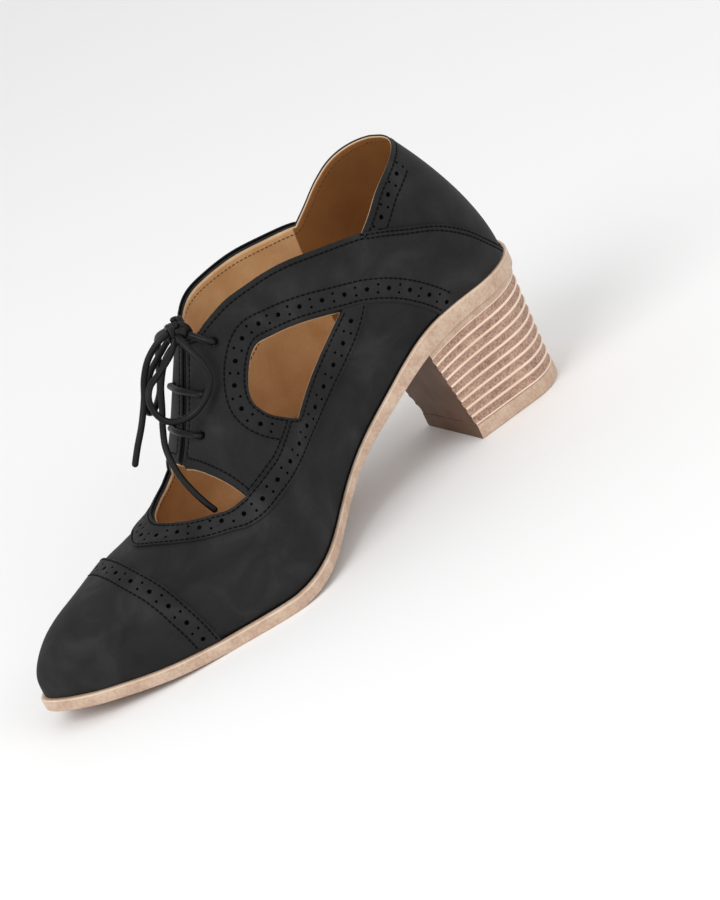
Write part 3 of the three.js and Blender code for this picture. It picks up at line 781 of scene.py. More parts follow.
def ramp(tree, value, stops):
    node = tree.nodes.new("ShaderNodeValToRGB")
    elements = node.color_ramp.elements
    while len(elements) < len(stops):
        elements.new(0.5)
    for element, (position, color) in zip(elements, stops):
        element.position = position
        element.color = (*color, 1)
    tree.links.new(value, node.inputs["Fac"])
    return node.outputs["Color"]


def mix(tree, factor, first, second, mode="MIX"):
    node = tree.nodes.new("ShaderNodeMix")
    node.data_type = "RGBA"
    node.blend_type = mode
    if isinstance(factor, float):
        node.inputs[0].default_value = factor
    else:
        tree.links.new(factor, node.inputs[0])
    for value, socket in ((first, node.inputs[6]), (second, node.inputs[7])):
        if isinstance(value, tuple):
            socket.default_value = (*value, 1)
        else:
            tree.links.new(value, socket)
    return node.outputs[2]


def paint(material, color):
    shader = material.node_tree.nodes["Principled BSDF"]
    material.node_tree.links.new(color, shader.inputs["Base Color"])


def vary_roughness(material, value, low, high):
    tree = material.node_tree
    node = tree.nodes.new("ShaderNodeMapRange")
    node.inputs["To Min"].default_value = low
    node.inputs["To Max"].default_value = high
    tree.links.new(value, node.inputs["Value"])
    tree.links.new(node.outputs["Result"], tree.nodes["Principled BSDF"].inputs["Roughness"])


def bump(material, layers):
    """Bump from a list of height, strength and distance."""
    tree = material.node_tree
    previous = None
    for height, strength, distance in layers:
        node = tree.nodes.new("ShaderNodeBump")
        node.inputs["Strength"].default_value = strength
        node.inputs["Distance"].default_value = distance
        tree.links.new(height, node.inputs["Height"])
        if previous:
            tree.links.new(previous, node.inputs["Normal"])
        previous = node.outputs["Normal"]
    tree.links.new(previous, tree.nodes["Principled BSDF"].inputs["Normal"])


def nubuck_material(name, dark, light):
    material = new_material(name, light, 0.8, sheen=0.04, gloss=0.22)
    tree = material.node_tree
    patches = noise(tree, 55, 5, 0.6)
    nap = noise(tree, 900, 3)
    grain = noise(tree, 2600, 2)
    color = ramp(tree, patches, [(0.34, dark), (0.52, light), (0.72, tuple(2.2 * c for c in light))])
    paint(material, mix(tree, 0.35, color, ramp(tree, nap, [(0.3, dark), (0.7, light)])))
    vary_roughness(material, patches, 0.88, 0.68)
    bump(material, [(patches, 0.15, 0.0008), (nap, 0.3, 0.0002), (grain, 0.35, 0.00008)])
    return material


def tan_material(name, dark, light, roughness, clouded=70, pored=1800, speckle=0.25, counter=None):
    """Smooth tan leather; counter is a second colour behind the lining's seam at the heel."""
    material = new_material(name, light, roughness, gloss=0.35)
    tree = material.node_tree
    clouds = noise(tree, clouded, 4, 0.3)
    pores = noise(tree, pored, 2)
    color = ramp(tree, clouds, [(0.3, dark), (0.7, light)])
    color = mix(tree, speckle, color, ramp(tree, pores, [(0.35, dark), (0.6, light)]))
    if counter:
        coords = tree.nodes.new("ShaderNodeTexCoord")
        parts = tree.nodes.new("ShaderNodeSeparateXYZ")
        tree.links.new(coords.outputs["Object"], parts.inputs["Vector"])
        seam = tree.nodes.new("ShaderNodeMapRange")
        seam.inputs["From Min"].default_value = COUNTER_SEAM * MM
        seam.inputs["From Max"].default_value = (COUNTER_SEAM + 0.6) * MM
        tree.links.new(parts.outputs["Y"], seam.inputs["Value"])
        worn_counter = mix(tree, clouds, counter, tuple(1.6 * c for c in counter))
        color = mix(tree, seam.outputs["Result"], color, worn_counter)
    paint(material, color)
    vary_roughness(material, clouds, roughness + 0.08, roughness - 0.08)
    bump(material, [(clouds, 0.1, 0.0005), (pores, 0.3, 0.0001)])
    return material


def plain_material(name, color, roughness, grain=1500, amount=0.2, gloss=0.1):
    material = new_material(name, color, roughness, gloss=gloss)
    tree = material.node_tree
    fleck = noise(tree, grain, 3)
    shade = tuple(0.7 * c for c in color)
    paint(material, ramp(tree, fleck, [(0.35, shade), (0.65, color)]))
    bump(material, [(fleck, amount, 0.0001)])
    return material


NUBUCK_DARK = (0.0085, 0.0085, 0.0088)
NUBUCK_LIGHT = (0.0150, 0.0150, 0.0155)
nubuck = nubuck_material("nubuck", NUBUCK_DARK, NUBUCK_LIGHT)
# Near-black raw edges of the overlays; the same material is the painted shade of the bead in the joint
# between upper and sole
raw_edge_and_painted_shade = plain_material("raw_edge_and_painted_shade", (0.003, 0.003, 0.003), 0.9)
# Pits: black like the leather, and darker still as painted shade in the punched holes
pit_black_and_painted_shade = plain_material("pit_black_and_painted_shade", (0.0005, 0.0005, 0.0005), 1.0)
thread_black = plain_material("thread_black", (0.0015, 0.0015, 0.002), 0.7)
thread_brown = plain_material("thread_brown", (0.20, 0.09, 0.035), 0.7)
COUNTER_SEAM = 58
COUNTER_BROWN = (0.20, 0.085, 0.026)
lining_tan = tan_material("lining_tan", (0.60, 0.33, 0.14), (0.80, 0.51, 0.26), 0.5, counter=COUNTER_BROWN)
insole_tan = tan_material("insole_tan", (0.48, 0.29, 0.15), (0.62, 0.41, 0.24), 0.5)
folded_edge = tan_material("folded_edge", (0.50, 0.33, 0.19), (0.66, 0.47, 0.30), 0.55)
lace_black = plain_material("lace_black", (0.0035, 0.0035, 0.0038), 0.45, 2400, 0.4, 0.25)


# Outlines on the chart
SIDES = (1, -1)
SLIT_FROM, SLIT_TO = 0.50, 0.665


def over_ridge(points, steps=6):
    """A plan line from the medial side over the ridge to the lateral side."""
    flat = in_plan(points, 1) + in_plan(points, -1)[::-1][1:]
    line = []
    for s, x in smooth(flat, False, steps):
        side = 1 if x >= axis(s) else -1
        line.append(locate([(x, LENGTH / 2 - s)], [0, 1], side)[0])
    return np.array(line)


def slit_edge(side):
    """One edge of the lacing slit, from above the throat to beyond the topline."""
    x = SLIT_OFFSET + side * SLIT_WIDTH / 2
    s = np.linspace(SLIT_FROM * LENGTH, SLIT_TO * LENGTH, 30)
    return locate([(x, LENGTH / 2 - k) for k in s], [0, 1], -1 if x < 0 else 1)


window = {side: side_line(WINDOW, side, True) for side in SIDES}
topline_back = {side: side_line(TOPLINE_BACK, side) for side in SIDES}
topline_front = {side: side_line(TOPLINE_FRONT, side) for side in SIDES}
facing_line = {side: side_line(FACING_LINE, side) for side in SIDES}
quarter_low = {side: side_line(QUARTER_LOW, side) for side in SIDES}
collar_seam = {side: side_line(COLLAR_SEAM, side) for side in SIDES}
throat_front = {side: plan_line(THROAT_FRONT, side) for side in SIDES}
flap_front = {side: plan_line(FLAP_FRONT, side) for side in SIDES}
quarter_front = {side: np.vstack([side_line(QUARTER_FRONT, side), throat_front[side][:1]]) for side in SIDES}
facing_front = over_ridge(FACING_FRONT)
cap_line = over_ridge(CAP_LINE)
eyelets = {side: plan_line(EYELETS, side, 1) for side in SIDES}


def whole(line):
    """One line over the ridge: the first side's as it runs, then the other's backwards."""
    return np.vstack([line[1], line[-1][::-1][1:]])


def back_seam(side, start):
    """The back seam from the feather edge up to a place on it."""
    v = np.linspace(1, abs(start), 34)
    return np.stack([0 * v, side * v], -1)


def to_feather(line):
    """A line whose last point is carried on to the feather edge."""
    end = line[-1].copy()
    end[1] = math.copysign(1.01, end[1])
    return np.vstack([line, end])


# Upper: a hollow wall of leather and lining
seam_v = np.linspace(0, 1, 400)
seam_z = skin(np.stack([0 * seam_v, seam_v], -1), 0)[:, 2]
topline_z = feather(0.107 * LENGTH) + TOPLINE_BACK[2][1] * INSTEP_HEIGHT
back_top = float(np.interp(-topline_z, -seam_z, seam_v))
for side in SIDES:
    topline_back[side] = np.vstack([(0, side * back_top), topline_back[side][1:]])


def side_outline(side):
    """From the back seam's top along the topline, the flap and the slit to the middle of the throat."""
    tip = topline_front[side][-1]
    rim = np.vstack([topline_front[side], [(tip[0], 0)], [(tip[0], -0.1 * side)]])
    front = whole({1: flap_front[-side][::-1], -1: flap_front[side][::-1]})
    slit = slit_edge(side)
    hit_top = crossing(rim, slit)
    slit = part_of(slit, hit_top[1], len(slit) - 1)
    hit_low = crossing(slit, front)
    return np.vstack([
        topline_back[side], part_of(rim, 0, hit_top[0])[1:],
        part_of(slit, 0, hit_low[0])[1:], part_of(front, hit_low[1], len(front) - 1)[1:],
        throat_front[side][1:],
    ])


def even(uv, step, corner=40):
    """The same line with even spacing, keeping its sharp corners."""
    d = unit(np.diff(skin(uv, 0), axis=0))
    turn = np.degrees(np.arccos(np.clip((d[1:] * d[:-1]).sum(1), -1, 1)))
    marks = [0, *[k + 1 for k in range(len(turn)) if turn[k] > corner], len(uv) - 1]
    parts = [resample(uv[a:b + 1], step)[:-1] for a, b in zip(marks, marks[1:]) if b > a]
    return np.vstack([*parts, uv[-1:]])


outline = {side: even(side_outline(side), 1.0) for side in SIDES}
toe_seam = np.stack([np.ones(40), np.linspace(1, -1, 40)], -1)
feather_medial = np.stack([np.linspace(0, 1, 200), np.ones(200)], -1)
feather_lateral = np.stack([np.linspace(1, 0, 200), -np.ones(200)], -1)
upper_loop = np.vstack([
    outline[1], outline[-1][::-1][1:], back_seam(-1, back_top)[::-1][1:], feather_lateral[::-1][1:],
    toe_seam[::-1][1:], feather_medial[::-1][1:], back_seam(1, back_top)[1:-1],
])
window_loop = {side: resample(window[side], 1.0, True) for side in SIDES}
eyelet_loop = {side: [circle_on(place, EYELET / 2, 18) for place in eyelets[side]] for side in SIDES}
upper_loops = [upper_loop, window_loop[1], window_loop[-1], *eyelet_loop[1], *eyelet_loop[-1]]


def even_loop(loop, step):
    """A closed loop with even spacing, keeping its sharp corners."""
    p = skin(loop, 0)
    d = unit(np.roll(p, -1, 0) - p)
    turn = (d * np.roll(d, 1, 0)).sum(1)
    loop = np.roll(loop, -int(np.argmin(turn)), 0)
    return even(np.vstack([loop, loop[:1]]), step)[:-1]


def window_from(side, start):
    """The window's edge backwards through its listed points, as an open line from one of them round to it."""
    steps = len(window[side]) // len(WINDOW)
    return np.roll(window[side], -start * steps, 0)[::-1]


def inside(places, loops, margin):
    """Which chart places lie within the first loop, out of the others and clear of all edges."""
    keep = np.ones(len(places), bool)
    for k, loop in enumerate(loops):
        held = within(places, loop)
        keep &= held if k == 0 else ~held
        edge = skin(loop, 0)
        spots = skin(places, 0)
        for i in range(0, len(spots), 500):
            gap = np.linalg.norm(spots[i:i + 500, None] - edge[None], axis=2).min(1)
            keep[i:i + 500] &= gap > margin
    return keep


# Punched bands: radii, spacing, clearance from the edges, and each band's middle and second row of stitches
BIG_HOLE = 0.85
SMALL_HOLE = 0.48
HOLE_PITCH = 8.6
HOLE_CLEARANCE = 1.3
PAIR_OFFSET = 1.45
BAND_MIDDLE = 4.8
BAND = 8.4
RIM_SEAM = 2.2
STITCH_PITCH = 2.0


def punched(line, loops):
    """Large holes along a line, with a pair of small ones across it midway between them."""
    places = resample(line, HOLE_PITCH / 2)
    left = leftward(places, False)
    spots = []
    for k, place in enumerate(places):
        if k % 2:
            spots.append((place, BIG_HOLE, 12))
        else:
            for side in (1, -1):
                moved = shift(place[None], side * PAIR_OFFSET * left[k:k + 1])[0]
                spots.append((moved, SMALL_HOLE, 8))
    fits = inside(np.array([spot[0] for spot in spots]), loops, BIG_HOLE + HOLE_CLEARANCE)
    return [spot for spot, fit in zip(spots, fits) if fit]


def trimmed(line, loops, margin=0.45):
    """The parts of a line that lie on a piece."""
    line = resample(line, 0.9)
    fits = inside(line, loops, margin)
    parts, current = [], []
    for place, fit in zip(line, fits):
        if fit:
            current.append(place)
        elif current:
            parts.append(current)
            current = []
    parts.append(current)
    return [np.array(part) for part in parts if len(part) > 4]


# Stitches: short rounded threads lying in their channel; each ring's place along it and width
STITCH_LENGTH = 1.5
STITCH_RADIUS = 0.3
STITCH_RINGS = ((-0.5, 0.35), (-0.32, 1.0), (0.32, 1.0), (0.5, 0.35))
stitch_shell = Shell()


def stitch_row(shell, line, inset, facing=1):
    """Stitches along a line; facing is -1 for those that are seen from inside the shoe."""
    places = resample(line, STITCH_PITCH)
    if len(places) < 3:
        return
    middles = at_lengths(places, (lengths(places)[1:] + lengths(places)[:-1]) / 2)
    points = worn(middles, inset)
    outward = facing * normals(middles)
    p = worn(places, inset)
    direction = unit(np.diff(p, axis=0))
    across = np.cross(direction, outward)
    for point, d, a, n in zip(points, direction, across, outward):
        loops = []
        for share, width in STITCH_RINGS:
            turn = 2 * np.pi * np.arange(6) / 6
            radius = STITCH_RADIUS * width
            centre = point + d * share * STITCH_LENGTH - n * 0.28 * abs(share) ** 2
            loops.append(shell.add_points(
                centre + radius * (np.cos(turn)[:, None] * a + np.sin(turn)[:, None] * n)))
        for low, high in zip(loops, loops[1:]):
            shell.band(low, high, 0, [True] * 6)
        shell.add_face(loops[0][::-1], 0)
        shell.add_face(loops[-1], 0)


def decorated(name, loops, rows, bands, outer, inner, spacing, back_spacing, replaced, kinds,
              split=1.0):
    """A leather piece with its stitched rows and punched bands."""
    channels = [part for row in rows for part in trimmed(row, loops)]
    pits = [spot for band in bands for spot in punched(band, loops)]
    for channel in channels:
        stitch_row(stitch_shell, channel, outer + 0.1)
    shell = leather(loops, pits, channels, outer, inner, spacing, back_spacing, 0.3, split)
    make_object(name, shell, kinds, replaced)


collar_rows, collar_bands = [], []
for side in SIDES:
    top = topline_back[side]
    rear = resample(top, 1.0)[:-2]
    collar_rows.append(offset(rear, side * 2.4))
    flank = resample(top, 1.0)
    flank = flank[int(0.42 * len(flank)):]
    collar_rows.append(offset(flank, side * BAND))
    collar_bands.append(offset(flank, side * BAND_MIDDLE))
upper_kinds = [nubuck, folded_edge, lining_tan, pit_black_and_painted_shade]
decorated("upper_leather", upper_loops, collar_rows, collar_bands, UPPER_OUT, UPPER_IN, 1.7, 2.4,
          ["upper"], upper_kinds, 0.55)

overlay_kinds = [nubuck, raw_edge_and_painted_shade, raw_edge_and_painted_shade, pit_black_and_painted_shade]

# Toe cap
cap_foot = float(chart_of(CAP_FOOT))
cap_whole = np.vstack([(cap_foot, 1.01), cap_line, (cap_foot, -1.01)])
cap_loops = [even_loop(ring([cap_whole, feather_lateral[::-1], toe_seam[::-1], feather_medial[::-1]]), 1.0)]
cap_guide = resample(cap_whole, 1.0)
decorated("toe_cap_leather", cap_loops, [offset(cap_guide, 1.0), offset(cap_guide, BAND)],
          [offset(cap_guide, 4.7)], OUTER, UNDER, 1.5, 4, ["toe_cap"], overlay_kinds)

# Lines around the windows: the quarter's guide runs over the window and down to the heel
WINDOW_FRONT = 3
WINDOW_FOOT = 12


def reach(line, low, high):
    """The stretch of a side line whose chart place lies between two along shares."""
    u = chart_of([low, high])
    return line[(line[:, 0] >= u[0]) & (line[:, 0] <= u[1])]


strap_low = {side: to_feather(quarter_low[side][::-1]) for side in SIDES}
facing_side = {side: reach(facing_line[side], 0.20, 0.640) for side in SIDES}
facing_outer = np.vstack([facing_side[1][::-1], facing_front, facing_side[-1]])
throat_whole = whole(throat_front)
facing_loops = [even_loop(ring([
    facing_outer,
    strap_low[-1][::-1],
    window_from(-1, WINDOW_FRONT),
    quarter_front[-1],
    throat_whole[::-1],
    quarter_front[1][::-1],
    window_from(1, WINDOW_FRONT)[::-1],
    strap_low[1],
]), 1.0)]

quarter_loops, quarter_guides = {}, {}
for side in SIDES:
    guide_window = window_from(side, WINDOW_FOOT)
    guide_window = guide_window[:int(0.95 * len(guide_window))]
    corner = int(np.argmin(np.linalg.norm(outline[side] - throat_front[side][0], axis=1)))
    quarter_loops[side] = [even_loop(ring([
        to_feather(collar_seam[side])[::-1],
        outline[side][:corner + 1],
        quarter_front[side][::-1],
        guide_window,
        strap_low[side],
        straight((0.42, side), (0.02, side), 60),
    ]), 1.0), *eyelet_loop[side]]
    a, b = crossing(guide_window, strap_low[side])
    c, _ = crossing(guide_window, quarter_front[side])
    strap_part = part_of(strap_low[side], b, len(strap_low[side]) - 2)
    quarter_guides[side] = np.vstack([part_of(guide_window, c, a), strap_part])

facing_guide = resample(facing_outer, 1.0)
facing_rows = [
    offset(facing_guide, -0.9),
    offset(resample(throat_whole, 1.0), 1.3),
    *[offset(resample(quarter_front[side], 1.0), side * 0.9) for side in SIDES],
    *[offset(window_loop[side], -side * 1.3, True) for side in SIDES],
]
decorated("vamp_facing_leather", facing_loops, facing_rows, [offset(facing_guide, -4.6)], OUTER, UNDER,
          1.4, 4, ["vamp_facing"], overlay_kinds)

for side, side_name in ((1, "medial"), (-1, "lateral")):
    guide = resample(quarter_guides[side], 1.0)
    rim = resample(outline[side], 1.0)
    seam = resample(collar_seam[side], 1.0)
    front = resample(quarter_front[side], 1.0)
    rows = [
        offset(guide, side * 1.2), offset(guide, side * BAND), offset(rim, side * RIM_SEAM),
        offset(seam, -side * 0.9), offset(seam, -side * 2.4), offset(front, -side * 0.9),
    ]
    decorated(f"quarter_{side_name}_leather", quarter_loops[side], rows, [offset(guide, side * BAND_MIDDLE)],
              OUTER, UNDER, 1.5, 4, [f"quarter_{side_name}"], overlay_kinds)

make_object("stitches", stitch_shell, [thread_black], weld=0, sharp=80)

# Stitches of the lining, inside the topline and the windows
lining_shell = Shell()
for side in SIDES:
    below_rim = offset(resample(outline[side], 1.0), side * RIM_SEAM)
    around_window = offset(window_loop[side], -side * 1.6, True)
    for row in (below_rim, around_window):
        for part in trimmed(row, upper_loops, 1.0):
            stitch_row(lining_shell, part, UPPER_IN - 0.05, -1)
make_object("lining_stitches", lining_shell, [thread_brown], weld=0, sharp=80)


# Sole, insole and heel
def between(shell, ids, columns):
    """A row of vertices from one vertex straight to another."""
    a, b = (np.array(shell.points[k]) for k in ids)
    return [ids[0], *shell.add_points([a + (b - a) * k / columns for k in range(1, columns)]), ids[1]]


def fill(shell, rows, kind, flip):
    """Faces between rows of vertices; a row may be one vertex over and over."""
    for one, two in zip(rows, rows[1:]):
        for k in range(len(one) - 1):
            face = [one[k], one[k + 1], two[k + 1], two[k]]
            face = [v for j, v in enumerate(face) if v != face[j - 1]]
            shell.add_face(face[::-1] if flip else face, kind)


def outline_ring(start, end, width_at, inset_round, inset, count):
    """Plan outline of a sole layer pushed inwards, medial side from heel to toe and lateral side back."""
    turn = (1 - np.cos(np.pi * np.arange(count + 1) / count)) / 2
    s = start + (end - start) * turn
    halves = []
    for side in SIDES:
        x = axis(s) + side * width_at(s, side) * end_share(s, start, end, inset_round)
        halves.append(np.stack([x, LENGTH / 2 - s], -1))
    loop = np.vstack([halves[0], halves[1][::-1][1:-1]])
    t = np.roll(loop, -1, 0) - np.roll(loop, 1, 0)
    normal = unit(np.stack([-t[:, 1], t[:, 0]], -1))
    centre = np.stack([axis(LENGTH / 2 - loop[:, 1]), loop[:, 1]], -1)
    outwards = np.sign(((loop - centre) * normal).sum(1).sum())
    return loop - outwards * inset * normal


def layer(name, profile, plan, low, high, materials, replaced, columns=10, count=150):
    """Layer between two heights; profile is a list of inset, share of the height, lift and material."""
    shell = Shell()
    rings = []
    for inset, share, lift, _ in profile:
        loop = outline_ring(*plan, inset, count)
        s = LENGTH / 2 - loop[:, 1]
        z = low(s) + share * (high(s) - low(s)) + lift
        rings.append(shell.add_points(np.column_stack([loop, z])))
    for (inset, share, lift, kind), one, two in zip(profile, rings, rings[1:]):
        shell.band(one, two, kind, [True] * len(one))
    for loop_ids, kind, flip in ((rings[0], profile[0][3], True), (rings[-1], profile[-1][3], False)):
        rows = [between(shell, (loop_ids[i], loop_ids[-i]), columns) for i in range(1, count)]
        ends = [[loop_ids[k]] * (columns + 1) for k in (0, count)]
        fill(shell, [ends[0], *rows, ends[1]], kind, flip)
    make_object(name, shell, materials, replaced, sharp=60)


stack_edge = tan_material("stack_edge", (0.43, 0.27, 0.19), (0.64, 0.49, 0.37), 0.5, 160, 900, 0.35)
# Painted highlight: a lighter colour on the sole's rounded top lip, standing for light along its top edge
stack_lip_painted_highlight = tan_material("stack_lip_painted_highlight", (0.58, 0.41, 0.29), (0.78, 0.62, 0.48), 0.5, 160)
# Painted highlight: a much lighter copy of the stack colour on the heel's thin rib crests
stack_crest_painted_highlight = tan_material("stack_crest_painted_highlight", (0.78, 0.56, 0.42), (0.92, 0.73, 0.58), 0.42)
# Painted shade: a darker copy of the stack colour in the heel's concave grooves, with the stack's own speckle
stack_groove_painted_shade = tan_material("stack_groove_painted_shade", (0.22, 0.12, 0.085), (0.56, 0.37, 0.28), 0.6, 130, 1100, 0.6)
tread_brown = tan_material("tread_brown", (0.24, 0.14, 0.08), (0.36, 0.22, 0.14), 0.6)
breast_brown = tan_material("breast_brown", (0.11, 0.06, 0.035), (0.18, 0.10, 0.065), 0.55)

# Material 1, on the rounded top lip, is that painted highlight
sole_profile = [
    (6, 0, 0, 2), (0.8, 0, 0, 2), (0.3, 0, 0.06, 0), (0.08, 0, 0.24, 0), (0, 0, 0.6, 0), (0, 1, -0.8, 0),
    (0.04, 1, -0.45, 1), (0.2, 1, -0.16, 1), (0.5, 1, -0.03, 1), (1.0, 1, 0, 0), (6, 1, 0, 0),
]
sole_plan = (0, LENGTH, half_width, 0)
layer("outsole_leather", sole_profile, sole_plan, sole_bottom, lambda s: feather(s) - GAP,
      [stack_edge, stack_lip_painted_highlight, tread_brown], ["outsole"])
insole_profile = [
    (1, 0, 0, 0), (0, 0, 0.2, 0), (0, 1, -0.5, 0), (0.2, 1, -0.12, 0), (0.7, 1, 0, 0), (4, 1, 0, 0),
]
insole_plan = (WELT_HEEL + INSOLE_INSET, LENGTH - WELT_TOE - INSOLE_INSET,
               lambda s, side: half_width(s, side) - welt(s) - INSOLE_INSET, INSOLE_INSET)
layer("insole_leather", insole_profile, insole_plan, feather, lambda s: feather(s) + INSOLE_THICKNESS,
      [insole_tan], ["insole"])

HEEL_STEPS = 44
GROOVE, RIB, TREAD, BREAST, BAND_EDGE = range(5)

# Each rib from one groove to the next: step, depth in shares of RIB_DEPTH, and material; RIB paints the
# crests with a highlight and GROOVE paints the grooves with shade
RIB_SHAPE = (
    (0, 0, RIB), (0.07, 0.04, RIB), (0.13, 0.35, GROOVE), (0.22, 0.78, GROOVE), (0.36, 1, GROOVE),
    (0.64, 1, GROOVE), (0.78, 0.78, GROOVE), (0.87, 0.35, RIB), (0.93, 0.04, RIB),
)

# Rubber piece: share of the block whose outline it has, swell, and height
TOP_PIECE_LEVELS = (
    (0, -0.9, 0), (0.001, -0.4, 0.1), (0.002, -0.1, 0.4), (0.003, 0, 0.9),
    (0.004, 0, TOP_PIECE - 0.3), (0.005, -0.25, TOP_PIECE),
)


def heel_ring(share, swell, z_at):
    """Outline of the heel at a share of its height, from the breast round the back to the breast."""
    rear_top = HEEL_INSET + WELT_HEEL / 2
    rear = 1 + (rear_top - 1) * share
    breast = HEEL_FOOT_LENGTH + (HEEL_LENGTH - HEEL_FOOT_LENGTH) * share
    turn = 1 - np.cos(np.pi / 2 * np.arange(HEEL_STEPS + 1) / HEEL_STEPS)
    s = rear + (breast - rear) * turn
    halves = []
    for side in SIDES:
        top = (half_width(s, side) - HEEL_INSET) * end_share(s, rear_top, LENGTH, HEEL_INSET)
        foot_round = np.clip(turn * (breast - rear) / (0.52 * HEEL_FOOT_WIDTH), 0, 1)
        foot = HEEL_FOOT_WIDTH / 2 * np.sqrt(1 - (1 - foot_round) ** 2)
        width = foot + (top - foot) * share**1.2
        halves.append(np.stack([side * width, LENGTH / 2 - s, z_at(s, share)], -1))
    loop = np.vstack([halves[0][::-1], halves[1][1:]])
    t = np.gradient(loop[:, :2], axis=0)
    normal = unit(np.stack([t[:, 1], -t[:, 0]], -1))
    if normal[HEEL_STEPS, 1] < 0:
        normal = -normal
    normal[[0, -1], 1] = 0
    loop[:, :2] += swell * normal
    return loop


def heel_piece(name, levels, z_at, materials, replaced, columns=12):
    """Levels of share, swell and material; the breast is a flat face between both ends of each ring."""
    shell = Shell()
    rings, breasts = [], []
    for share, swell, _ in levels:
        loop = heel_ring(share, swell, z_at)
        ids = shell.add_points(loop)
        rings.append(ids)
        breasts.append(between(shell, (ids[-1], ids[0]), columns))
    for k, (_, _, kind) in enumerate(levels[:-1]):
        fill(shell, rings[k:k + 2], kind, False)
        fill(shell, breasts[k:k + 2], BREAST, False)
    half = HEEL_STEPS
    for level, flip in ((0, True), (-1, False)):
        ids = rings[level]
        strips = [between(shell, (ids[half - i], ids[half + i]), columns) for i in range(1, half)]
        strips = [[ids[half]] * (columns + 1), *strips, breasts[level][::-1]]
        fill(shell, strips, TREAD if flip else GROOVE, flip)
    make_object(name, shell, materials, replaced)


def rib_levels():
    """Levels of the block: the ribs, and above them the plain band under the outsole."""
    span = 1 - HEEL_BAND / HEEL_HEIGHT
    levels = []
    for rib in range(RIBS):
        for step, depth, kind in RIB_SHAPE:
            levels.append(((rib + step) / RIBS * span, -depth * RIB_DEPTH, kind))
    band = [(span + 0.002, 0, BAND_EDGE), (0.994, 0, BAND_EDGE), (1, -0.15, BAND_EDGE)]
    return [*levels, (span, 0, RIB), *band]


def block_height(s, share):
    low = TOP_PIECE + GAP
    return low + (sole_bottom(s) - GAP - low) * share


# Heel colours: grooves in painted shade, rib crests in painted highlight, then tread, breast and plain band
heel_kinds = [stack_groove_painted_shade, stack_crest_painted_highlight, tread_brown, breast_brown, stack_edge]
heel_piece("heel_stack", rib_levels(), block_height, heel_kinds, ["heel"])


def top_piece_height(s, share):
    shares, _, heights = zip(*TOP_PIECE_LEVELS)
    return np.full(s.shape, np.interp(share, shares, heights))


top_levels = [(share, swell, BAND_EDGE) for share, swell, _ in TOP_PIECE_LEVELS]
heel_piece("heel_top_piece_rubber", top_levels, top_piece_height, heel_kinds, ["heel_top_piece"])


# Laces
def lace_line(points, step=0.5):
    """Evenly spaced points of a lace's middle in the row frame, and its length, in millimetres."""
    line = np.array([(x, LENGTH / 2 - s, z) for x, s, z in smooth(points, False, 30)])
    run = distances(line)
    count = max(4, round(run[-1] / step))
    where = np.linspace(0, run[-1], count + 1)
    return np.stack([np.interp(where, run, line[:, k]) for k in range(3)], -1), run[-1]


BRAID_DEPTH = 0.05
BRAID_STRANDS = 4
BRAID_TWIST = 2.6
TIP_SHARE = 0.12


def tube(shell, line, radius, sides=16):
    """Round lace along a line, with a braid's relief and rounded tips."""
    t = unit(np.gradient(line, axis=0))
    first = unit(np.cross(t[0], (0.3, 0.5, 0.8)))
    run = distances(line)
    turn = 2 * np.pi * np.arange(sides) / sides
    rings = []
    for k, point in enumerate(line):
        first = unit(first - t[k] * np.dot(first, t[k]))
        second = np.cross(t[k], first)
        strands = BRAID_STRANDS * turn
        twist = BRAID_TWIST * run[k]
        relief = np.sin(strands + twist) * np.sin(strands - twist)
        ends = min(run[k] / radius, (run[-1] - run[k]) / radius, 1)
        close = math.sqrt(max(0.0, 1 - (1 - ends) ** 2))
        r = radius * max(close, TIP_SHARE) * (1 + BRAID_DEPTH * relief)
        around = np.cos(turn)[:, None] * first + np.sin(turn)[:, None] * second
        rings.append(shell.add_points(point + r[:, None] * around))
    for low, high in zip(rings, rings[1:]):
        shell.band(low, high, 0, [True] * sides)
    shell.add_face(rings[0][::-1], 0)
    shell.add_face(rings[-1], 0)


def lace_piece(name, line, replaced):
    shell = Shell()
    tube(shell, line, LACE / 2)
    return make_object(name, shell, [lace_black], replaced, weld=0, sharp=80)


LACE_ROUTES = (
    ("lace_loop_medial", LOOP_MEDIAL, "object"), ("lace_loop_lateral", LOOP_LATERAL, "object"),
    ("lace_end_free", END_FREE, "bare"), ("lace_end_tucked", END_TUCKED, "bare"),
)
knot_centre = np.array([KNOT_CENTRE[0], LENGTH / 2 - KNOT_CENTRE[1], KNOT_CENTRE[2]])
for name, route, far_end in LACE_ROUTES:
    line, length = lace_line(route)
    cord = lace_piece(name + "_cord", line, [name])


LACE_SAG = 0.35


def spot_on(side, k, height):
    """A spot over an eyelet, lowered so that the lace rests on the eyelet's lower edge."""
    place = eyelets[side][k:k + 1]
    return (skin(place, 0) + height * normals(place))[0] - np.array((0, 0, LACE_SAG))


def bar_line(k, lift):
    """Lace that comes up through one eyelet, crosses over the flaps and goes down through the other."""
    a0, b0 = spot_on(1, k, -3 * WALL), spot_on(-1, k, -3 * WALL)
    a1, b1 = spot_on(1, k, 0), spot_on(-1, k, 0)
    a2, b2 = spot_on(1, k, 0.75 * lift), spot_on(-1, k, 0.75 * lift)
    middle = (spot_on(1, k, lift) + spot_on(-1, k, lift)) / 2
    rise = (normals(eyelets[1][k:k + 1]) + normals(eyelets[-1][k:k + 1]))[0]
    crest = middle + lift * rise / np.linalg.norm(rise)
    near = spot_on(1, k, lift) * 0.65 + crest * 0.35
    far = spot_on(-1, k, lift) * 0.65 + crest * 0.35
    points = [(p[0], LENGTH / 2 - p[1], p[2]) for p in (a0, a1, a2, near, crest, far, b2, b1, b0)]
    return lace_line(points)[0]


lace_piece("lace_bottom_bar_cord", bar_line(2, LACE), ["lace_bottom_bar"])
lace_piece("lace_middle_bar_cord", bar_line(1, LACE), ["lace_middle_bar"])


